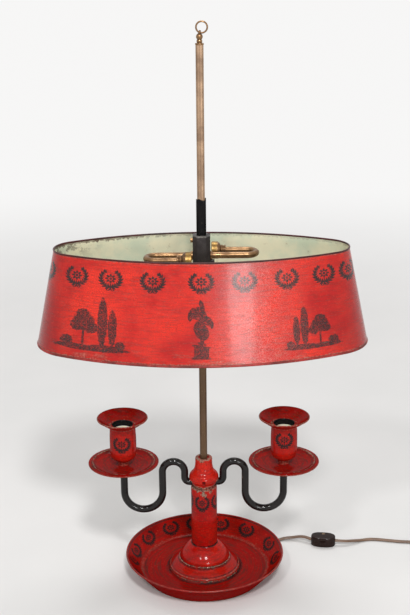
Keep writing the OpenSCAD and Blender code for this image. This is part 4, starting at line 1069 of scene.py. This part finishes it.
def makeColumnCap():
    low, top, halfSlot = capLow, capTop, footSizes["slotW"] / 2
    profile = softLine([
        (14.1, low), (14.7, low + 2.4), (16.9, low + 4.9), (17.3, low + 7),
        (17.1, low + 9.4), (15.9, low + 12.3), (13.1, low + 15.4), (11.1, low + 19),
        (10.2, low + 23.5), (9.9, top - 5), (10.0, top - 1.8)])
    profile += arcLine((8.7, top - 1.2), 1.2, 20, 90, 5) + [(6.6, top)]
    bm = bmesh.new()
    line = [bm.verts.new((r * mm, 0, z * mm)) for r, z in profile]
    edges = [bm.edges.new(pair) for pair in zip(line, line[1:])]
    bmesh.ops.spin(bm, geom=line + edges, cent=(0, 0, 0), dvec=(0, 0, 0), axis=(0, 0, 1),
                   angle=fullTurn, steps=112, use_merge=True)
    cleanMesh(bm)
    # slot in the front, cut along three planes
    slotTop = low + footSizes["slotH"]
    for spot, way in (((halfSlot, 0, 0), (1, 0, 0)), ((-halfSlot, 0, 0), (1, 0, 0)),
                      ((0, 0, slotTop), (0, 0, 1))):
        bmesh.ops.bisect_plane(bm, geom=bm.verts[:] + bm.edges[:] + bm.faces[:], dist=1e-7,
                               plane_co=Vector(spot) * mm, plane_no=way)
    middles = [(f, f.calc_center_median()) for f in bm.faces]
    bmesh.ops.delete(bm, context="FACES", geom=[
        f for f, at in middles
        if at.y < 0 and abs(at.x) < halfSlot * mm and at.z < slotTop * mm])
    bmesh.ops.solidify(bm, geom=bm.faces[:], thickness=footSizes["capSheet"] * mm)
    redPiece(bm, "columnCap", "column_cap", "capRed", sharpAngle=50,
             wornAt=[("height", top - 0.3, 0.7, 0.8), ("height", low + 0.3, 0.5, 0.8),
                     ("spot", (15.6, -7, low + 5), 3.2, 0.9),
                     ("spot", (-15.6, -7, low + 5), 3.0, 0.9),
                     ("spot", (-2, -10, top - 1.5), 2.2, 0.8)],
             rub=0.5, shade=0.5, polish=1.8)


makeDish()
makeFootMouldings()
makeColumn()
makeColumnCap()
print("foot and column made")

# Candle arms, pans, cups and nozzles
armSizes = {
    "reach": 93.5, "rod": 4.25, "seatX": 7.0, "stubZ": 117.45, "elbow": 6.0,
    "innerX": 22.5, "upper": 13.0, "upperZ": 130.45, "lower": 22.5, "lowerZ": 104.5,
    "collarR": 7.0, "collarH": 3.5, "spigotR": 3.2, "spigotH": 12, "panZ": 139.8,
}
candleSizes = {
    "holeR": 3.4, "panFloor": 140.8, "cupLow": 146.8, "cupR": 15.4, "cupH": 42.6,
    "nozzleR": 12.2, "nozzleLow": 164.4, "boreR": 11.2, "flareR": 28.3, "flareH": 9.5,
    "waxR": 11.0, "waxTop": 185.4,
    "wreathZ": {"left": 172.5, "right": 176.5},
}


def makeArm(side, turn):
    s = armSizes
    bm = bmesh.new()
    elbowX, dropX = s["innerX"] - s["elbow"], s["innerX"] + 2 * s["upper"]
    addRod(bm, (s["seatX"], 0, s["stubZ"]), [
        ("go", elbowX - s["seatX"]),
        ("turn", (elbowX, 0, s["stubZ"] + s["elbow"]), (0, -1, 0), 90),
        ("go", s["upperZ"] - s["stubZ"] - s["elbow"]),
        ("turn", (s["innerX"] + s["upper"], 0, s["upperZ"]), (0, 1, 0), 180),
        ("go", s["upperZ"] - s["lowerZ"]),
        ("turn", (dropX + s["lower"], 0, s["lowerZ"]), (0, -1, 0), 180),
        ("go", s["panZ"] - s["lowerZ"])], s["rod"])
    collar, spigotTop = s["panZ"] - s["collarH"], s["panZ"] + s["spigotH"]
    addTurned(bm, [(0, collar)] + arcLine((s["collarR"] - 0.8, collar + 0.8), 0.8, -90, 0, 3)
              + [(s["collarR"], s["panZ"] - 0.3), (s["collarR"] - 0.3, s["panZ"]),
                 (s["spigotR"], s["panZ"]), (s["spigotR"], spigotTop), (0, spigotTop)],
              (s["reach"], 0, 0), steps=48)
    cleanMesh(bm)
    finishPiece(placed(bm, turn), "armRod_" + side, "arm_" + side, "arm_black")


def makeCandle(side, way):
    # pan, cup, nozzle and stub of one arm
    s = candleSizes
    reach, end = way * armSizes["reach"], side.title()
    floor, base = s["panFloor"], s["cupLow"]
    lip, low = base + s["cupH"], s["nozzleLow"]
    top = softLine([(s["holeR"], floor), (14, floor), (21.6, floor + 0.1),
                    (29.5, floor + 1.25), (33.8, floor + 3.0), (36.0, floor + 4.35),
                    (36.7, floor + 4.4), (40.0, floor + 3.45)])
    pan = (top + arcLine((40.2, floor + 2.9), 0.8, 70, -80, 7)
           + [(r, z - 1) for r, z in reversed(top)])
    redPiece(turned(pan, (reach, 0, 0), steps=128), "drip" + end, "pan_" + side,
             "panRed" + end, centreX=reach,
             wornAt=[("radius", 35.9, 0.7, 0.8), ("radius", 40.8, 0.3, 0.3)],
             inkAt=[("radius", 37.4, 0.6, 0.55), ("radius", 33.6, 0.8, 0.4)],
             rub=1.0, shade=1.1, polish=0.9)
    outer = softLine([
        (6.3, floor), (6.5, floor + 2.2), (6.9, base - 1.2), (9.8, base + 0.9),
        (13.3, base + 3.7), (15.0, base + 8.4), (s["cupR"], base + 15),
        (s["cupR"], base + 28.6), (15.0, base + 37.6), (15.0, base + 42.4)])
    cup = ([(s["holeR"], floor)] + outer + [(14.7, lip), (13.9, lip)]
           + [(13.8, base + 30), (13.8, base + 12), (12.4, base + 6), (8, base + 1.8),
              (s["holeR"], base + 1.8)])
    redPiece(turned(cup, (reach, 0, 0), steps=112), "cup" + end, "cup_" + side,
             "cupRed" + end, centreX=reach,
             wornAt=[("height", base + 42.2, 0.5, 0.7), ("radius", 6.6, 0.5, 0.4)],
             wreaths={"angles": (-92, 28, 148), "radius": s["cupR"], "slant": 1.0,
                      "height": s["wreathZ"][side], "size": (12.6, 10.6)},
             rub=0.6, shade=0.75, polish=1.6)
    flare = softLine([(15.0, lip + 0.05), (18.2, lip + 1.6), (22.0, lip + 4.1),
                      (25.6, lip + 7.0), (s["flareR"], lip + s["flareH"])])
    rim = arcLine((s["flareR"] + 0.3, flare[-1][1] + 0.5), 0.8, -60, 190, 10)
    bore, tubeR = s["boreR"], s["nozzleR"]
    bm = turned([(0, low), (tubeR, low), (tubeR, lip), (14.6, lip)] + flare + rim
                + [(r - 0.4, z + 1.0) for r, z in reversed(flare)]
                + arcLine((bore + 1.4, lip + 2.2 - 1.4), 1.4, 80, 180, 5)
                + [(bore, low + 1), (0, low + 1)], (reach, 0, 0), steps=112)
    # painted shade: the bore's inside, up to just above the lip, takes the black finish
    for face in bm.faces:
        middle = face.calc_center_median()
        inBore = math.hypot(middle.x - reach * mm, middle.y) < (bore + 1.0) * mm
        face.material_index = 1 if inBore and middle.z < (lip + 2.4) * mm else 0
    finishPiece(bm, "nozzle" + end, "nozzle_" + side, "tole_red", "nozzle_" + side, [
        turnedPaint("nozzleRed" + end, [("radius", 28.9, 0.5, 0.6),
                                        ("radius", 14.2, 0.9, 0.6)],
                    centreX=reach, rub=0.9, shade=1.05), finishes["sleeve_black"]])
    waxR, waxTop = s["waxR"], s["waxTop"]
    wax = ([(0, low + 1.05), (waxR, low + 1.05), (waxR, waxTop - 1.6)]
           + arcLine((waxR - 1.4, waxTop - 1.4), 1.4, 10, 90, 5)
           + [(6.5, waxTop - 0.4), (3, waxTop - 0.9), (0, waxTop - 1.0)])
    finishPiece(turned(wax, (reach, 0, 0), steps=64), "stub" + end, "wax_" + side, "wax",
                "nozzle_" + side)


for side, way, turn in (("left", -1, 180), ("right", 1, 0)):
    makeArm(side, turn)
    makeCandle(side, way)
print("arms and candles made")

# Stem, finial, block and sleeve
finialSizes = {"lean": 24, "eyeZ": 634.9, "eyeR": 2.4, "eyeHole": 1.3, "ballZ": 630.5,
               "ballR": 3.6, "ringR": 5.9, "wireR": 0.9}


def makeStem():
    s = slideSizes
    bm = bmesh.new()
    addBar(bm, s["stemW"], s["stemCut"], ("round", s["stemBore"]), s["stemLow"], s["stemTop"])
    cleanMesh(bm, 0.16)
    # plain round foot below the bar
    addTurned(bm, [(s["stemBore"], 0), (s["stemFootR"], 0), (s["stemFootR"], s["stemLow"]),
                   (s["stemBore"], s["stemLow"])], steps=32)
    bmesh.ops.recalc_face_normals(bm, faces=bm.faces)
    finishPiece(bm, "stemBar", "stem_rod", "stem_copper")


def makeFinial():
    s, top = finialSizes, slideSizes["stemTop"]
    ball = (0, s["ballZ"])
    bm = turned([(0, top)] + arcLine((4.3, top + 0.5), 0.5, -90, 0, 3)
                + arcLine((4.1, top + 0.9), 0.6, 20, 90, 3)
                + [(3.3, top + 1.6), (2.6, top + 2.3), (2.2, top + 2.7)]
                + arcLine((0, top + 3.5), 3.1, -38, 42, 9)
                + [(2.1, s["ballZ"] - 2.4)] + arcLine(ball, s["ballR"], -42, 90, 14),
                steps=56)
    # flat eye above the ball: a disc with a round hole
    r, hole = s["eyeR"], s["eyeHole"]
    eye = turned([(hole, -1.0), (r - 0.3, -1.0), (r, -0.7), (r, 0.7), (r - 0.3, 1.0),
                  (hole, 1.0)], axis="X", steps=40)
    eyeMesh = bpy.data.meshes.new("eye")
    placed(eye, s["lean"], "Y", (0, 0, s["eyeZ"])).to_mesh(eyeMesh)
    eye.free()
    bm.from_mesh(eyeMesh)
    bpy.data.meshes.remove(eyeMesh)
    finishPiece(bm, "finialKnob", "finial_knob", "brass_old")
    bm = bmesh.new()
    addRod(bm, (0, 0, 0), [("turn", (0, 0, s["ringR"]), (0, -1, 0), 180)] * 2, s["wireR"],
           sides=20)
    lids = [f for f in bm.faces if len(f.verts) > 4]
    bmesh.ops.delete(bm, geom=lids, context="FACES_ONLY")
    cleanMesh(bm)
    finishPiece(placed(bm, s["lean"], "Y", (0, 0, s["eyeZ"])), "finialRing", "finial_ring",
                "brass_old", "finial_ring")


def makeSlide():
    s = slideSizes
    bore = ("square", s["stemW"] + 2 * s["slip"], s["stemCut"])
    bm = bmesh.new()
    addBar(bm, s["blockW"], s["blockCut"], bore, s["blockLow"], s["blockTop"])
    cleanMesh(bm, 0.45)
    finishPiece(bm, "slideBlock", "slide_block", "iron_dark", "carriage", sharpAngle=40)
    bm = bmesh.new()
    addBar(bm, s["sleeveW"], s["sleeveCut"], bore, s["blockTop"], s["sleeveTop"], rows=10)
    cleanMesh(bm, 0.2)
    for vert in bm.verts:
        # chipped, uneven top edge
        share = (vert.co.z / mm - s["blockTop"]) / (s["sleeveTop"] - s["blockTop"])
        if share > 0.99:
            chip = noise.noise(vert.co * 190) + 0.5 * noise.noise(vert.co * 430)
            vert.co.z -= max(0, min(1, 0.45 + chip)) * s["ragged"] * mm
    finishPiece(bm, "slideSleeve", "slide_sleeve", "sleeve_black", "carriage",
                sharpAngle=40)


makeStem()
makeFinial()
makeSlide()
print("stem and slide made")

# Bulb tubes and holders
holderSizes = {
    "tubeR": 3.6, "gap": 21.0, "tubeZ": 393.5, "bendX": 49.9, "nearX": 9.65,
    "capBack": 27.0, "capBore": 3.65, "mouth": 11.0, "band": 6.2, "capR": 9.9,
    "threads": 4, "pitch": 1.4,
}


def makeHolder(end, turn):
    s = holderSizes
    near, back, mouth = s["nearX"], s["capBack"], s["mouth"]
    cone, capR, bore = mouth + s["band"], s["capR"], s["capBore"]
    tube = bmesh.new()
    addRod(tube, (near, 0, s["tubeZ"]), [
        ("go", s["bendX"] - near),
        ("turn", (s["bendX"], s["gap"] / 2, s["tubeZ"]), (0, 0, 1), 180),
        ("go", s["bendX"] - back + 2)], s["tubeR"], sides=32)
    # plain collar where the tube enters the block
    addTurned(tube, [(3.3, near), (4.6, near), (5.0, near + 0.35), (5.0, near + 1.75),
                     (4.5, near + 2.25), (3.3, near + 2.25)], (0, 0, s["tubeZ"]), "X", 40)
    cleanMesh(tube)
    beads = [(r, x) for at, radius in ((back - 0.9, 6.1), (back - 2.6, 5.5), (back - 4.3, 6.3))
             for x, r in arcLine((at, radius - 0.8), 0.8, 0, 180, 5)]
    cap = ([(bore, back)] + beads
           + [(5.4, back - 5.4), (7.0, back - 6.2), (8.6, back - 7.4), (9.5, cone + 0.9),
              (capR, cone + 0.4), (capR, cone), (8.6, cone), (4.6, back - 5.2),
              (bore, back - 3)])
    thread = []
    for i in range(s["threads"]):
        start = mouth + 0.5 + i * s["pitch"]
        thread += [(9.45, start), (9.95, start + 0.4), (9.95, start + 0.8), (9.45, start + 1.2)]
    shell = [(9.2, mouth), (9.8, mouth)] + thread + [(9.45, cone), (9.2, cone)]
    seat = (0, s["gap"], s["tubeZ"])
    for bm, name, slot, node in (
            (tube, "bulbTube", "brass_old", "holder_tube_"),
            (turned(cap, seat, "X", 64), "holderCap", "brass_old", "holder_cap_"),
            (turned(shell, seat, "X", 72), "holderShell", "brass_bright", "holder_shell_")):
        finishPiece(placed(bm, turn), name + end.title(), node + end, slot, "carriage")


for end, turn in (("back", 0), ("front", 180)):
    makeHolder(end, turn)
print("bulb holders made")


# Switch, plug and bush on the cord
def sinkHole(bm, lid, centre, radius, deep):
    # blind round hole in a flat lid
    rim = {e for f in lid for e in f.edges}
    bmesh.ops.delete(bm, geom=lid, context="FACES_ONLY")
    ring = bmesh.ops.create_circle(bm, segments=len(rim), radius=radius * mm)["verts"]
    bmesh.ops.translate(bm, vec=centre, verts=ring)
    edges = edgesAt(ring)
    bmesh.ops.bridge_loops(bm, edges=list(rim) + edges)
    made = bmesh.ops.extrude_edge_only(bm, edges=edges)["geom"]
    bmesh.ops.translate(bm, vec=(0, 0, -deep * mm), verts=vertsOf(made))
    fillHoles(bm, len(rim))


def makeSwitchHalf(name, node, rings, screwed=False):
    # rings are (height, inset): a squared oval drawn up ring by ring
    s = switchSizes
    bm = bmesh.new()
    bmesh.ops.create_circle(bm, cap_ends=True, segments=56, radius=1.0)
    for vert in bm.verts:
        vert.co /= (abs(vert.co.x) ** s["square"] + abs(vert.co.y) ** s["square"]) ** (
            1 / s["square"])
    faces, verts, last = bm.faces[:], bm.verts[:], (1.0, 1.0, 0.0)
    for i, (height, inset) in enumerate(rings):
        if i:
            faces, verts = drawnUp(bm, faces, keep=i == 1)
        size = ((s["length"] / 2 - inset) * mm, (s["width"] / 2 - inset) * mm, height * mm)
        bmesh.ops.scale(bm, vec=(size[0] / last[0], size[1] / last[1], 1), verts=verts)
        bmesh.ops.translate(bm, vec=(0, 0, size[2] - last[2]), verts=verts)
        last = size
    if screwed:
        sinkHole(bm, faces, (0, s["screwY"] * mm, last[2]), s["screwR"], s["screwDeep"])
    cleanMesh(bm)
    return finishPiece(placed(bm, s["angle"], place=(*s["place"], 0)), name, node,
                       "plastic_brown")


def roundedRings(low, high, radius, steps):
    # quarter round between two heights, inset growing to the radius
    turn = [math.pi / 2 * i / steps for i in range(steps + 1)]
    return [(low + (high - low) * math.sin(a), radius * (1 - math.cos(a))) for a in turn]


def makeSwitch():
    s = switchSizes
    seam, lip, top = s["seam"], s["lip"], s["height"]
    heel = roundedRings(s["heel"], 0.0, s["heel"], 4)[::-1]
    dome = roundedRings(top - s["dome"], top, s["dome"], 8)
    return [makeSwitchHalf("switchBase", "switch_base", heel + [(seam - lip, 0.0), (seam, lip)]),
            makeSwitchHalf("switchCover", "switch_cover",
                           [(seam, lip), (seam + lip, 0.0)] + dome, screwed=True)]


def makePlug():
    s = plugSizes
    width, height, neck = s["width"], s["height"], s["neck"]
    bm = lofted([(0, neck, neck, 0), (3, 8.4, 8.0, 0), (10, 15.6, 10.8, 0),
                 (15, 18.6, 11.8, 0), (22, width - 0.4, height - 0.2, 0),
                 (26, width, height - 0.4, 0)], 32, s["squareness"], s["squareAt"])
    cleanMesh(bm, 0.7, 50)
    return finishPiece(placed(bm, s["angle"], place=s["place"]), "plugBody", "plug_body",
                       "plastic_brown", sharpAngle=45)


def makeBush():
    # tapered sleeve that leads the cord out of the foot
    bm = lofted([(r, width, height, height / 2 + 0.05) for r, width, height in (
        (68, 8.0, 4.0), (73, 8.0, 4.0), (74, 9.4, 4.0), (76, 9.4, 4.0), (77, 7.8, 3.9),
        (84, 7.0, 3.6), (92, 6.2, 3.2), (97, 5.9, 3.1))], 24)
    cleanMesh(bm)
    finishPiece(placed(bm, cordSizes["exitAngle"]), "cordBush", "cord_bush",
                "plastic_brown")


onCord = makeSwitch() + [nodes[name] for name in (
    "switch_wheel", "switch_screw", "switch_contacts")] + [makePlug(), nodes["plug_blades"]]
makeBush()
tuple(at * mm for at in cordExit)
print("switch and plug made")

# Floor, light and background
studio = {
    "floorR": 40.0, "floorZ": -0.0002,  # metres
    "floorColour": (0.7, 0.695, 0.685), "floorCloud": (0.74, 0.73, 0.72),
    "fadeFrom": 0.8, "fadeTo": 2.1,  # where the floor turns into the background, in metres
    "background": (0.93, 0.925, 0.92), "ambient": 0.46,
    "lamps": (  # name, place, aim, size and power
        ("keyLamp", (0.42, -2.7, 3.08), (0.02, 0, 0.2), 0.54, 74),
        ("sheenLamp", (0.86, -2.9, 0.64), (0.05, 0, 0.33), 0.6, 19),
        ("fillLamp", (-1.22, -2.7, 3.17), (0, 0, 0.2), 0.43, 32),
        ("topLamp", (0.15, 1.2, 3.0), (0, 0, 0.35), 1.4, 28),
    ),
}


def makeBackground():
    scene.world = bpy.data.worlds.new("studio")
    scene.world.use_nodes = True
    tree = scene.world.node_tree
    tree.nodes.clear()
    ray = wiresOf(addNode(tree, "LightPath"))
    seen = largest([ray["Is Camera Ray"], ray["Is Glossy Ray"], ray["Is Transmission Ray"]])
    light = addNode(tree, "Background", {
        "Color": studio["background"],
        "Strength": seen * (1 - studio["ambient"]) + studio["ambient"]})
    tree.links.new(light.outputs[0], addNode(tree, "OutputWorld").inputs[0])


def makeFloor():
    # pale floor that turns into the background further out
    material, place, shader = newMaterial("floorPale", roughness=0.85)
    tree = material.node_tree
    feed(shader, {"Base Color": place.noise(3, 3).ramp(0.3, 0.7).mix(
        studio["floorColour"], studio["floorCloud"])})
    far = place.reach().ramp(studio["fadeFrom"], studio["fadeTo"])
    ray = wiresOf(addNode(tree, "LightPath"))
    lit = shader["Base Color"].node.outputs[0]
    surface = lit.links[0].to_socket
    glow = addNode(tree, "Emission", {0: studio["background"], 1: 1.0})
    blend = addNode(tree, "MixShader", {
        0: far * largest([ray["Is Camera Ray"], ray["Is Glossy Ray"]]),
        1: lit, 2: glow.outputs[0]})
    tree.links.new(blend.outputs[0], surface)
    bm = bmesh.new()
    bmesh.ops.create_circle(bm, cap_ends=True, segments=96, radius=studio["floorR"])
    mesh = bpy.data.meshes.new("floor")
    bm.to_mesh(mesh)
    bm.free()
    mesh.materials.append(material)
    floor = bpy.data.objects.new("floor", mesh)
    floor.location.z = studio["floorZ"]
    scene.collection.objects.link(floor)


def makeLamps():
    for name, place, aim, size, power in studio["lamps"]:
        lamp = bpy.data.lights.new(name, "AREA")
        lamp.shape, lamp.size, lamp.energy = "DISK", size, power
        lampObject = bpy.data.objects.new(name, lamp)
        lampObject.location = place
        lampObject.visible_camera = False
        way = Vector(aim) - Vector(place)
        lampObject.rotation_euler = way.to_track_quat("-Z", "Y").to_euler()
        scene.collection.objects.link(lampObject)


makeBackground()
makeFloor()
makeLamps()
scene.view_settings.view_transform = "Standard"
print("studio made")
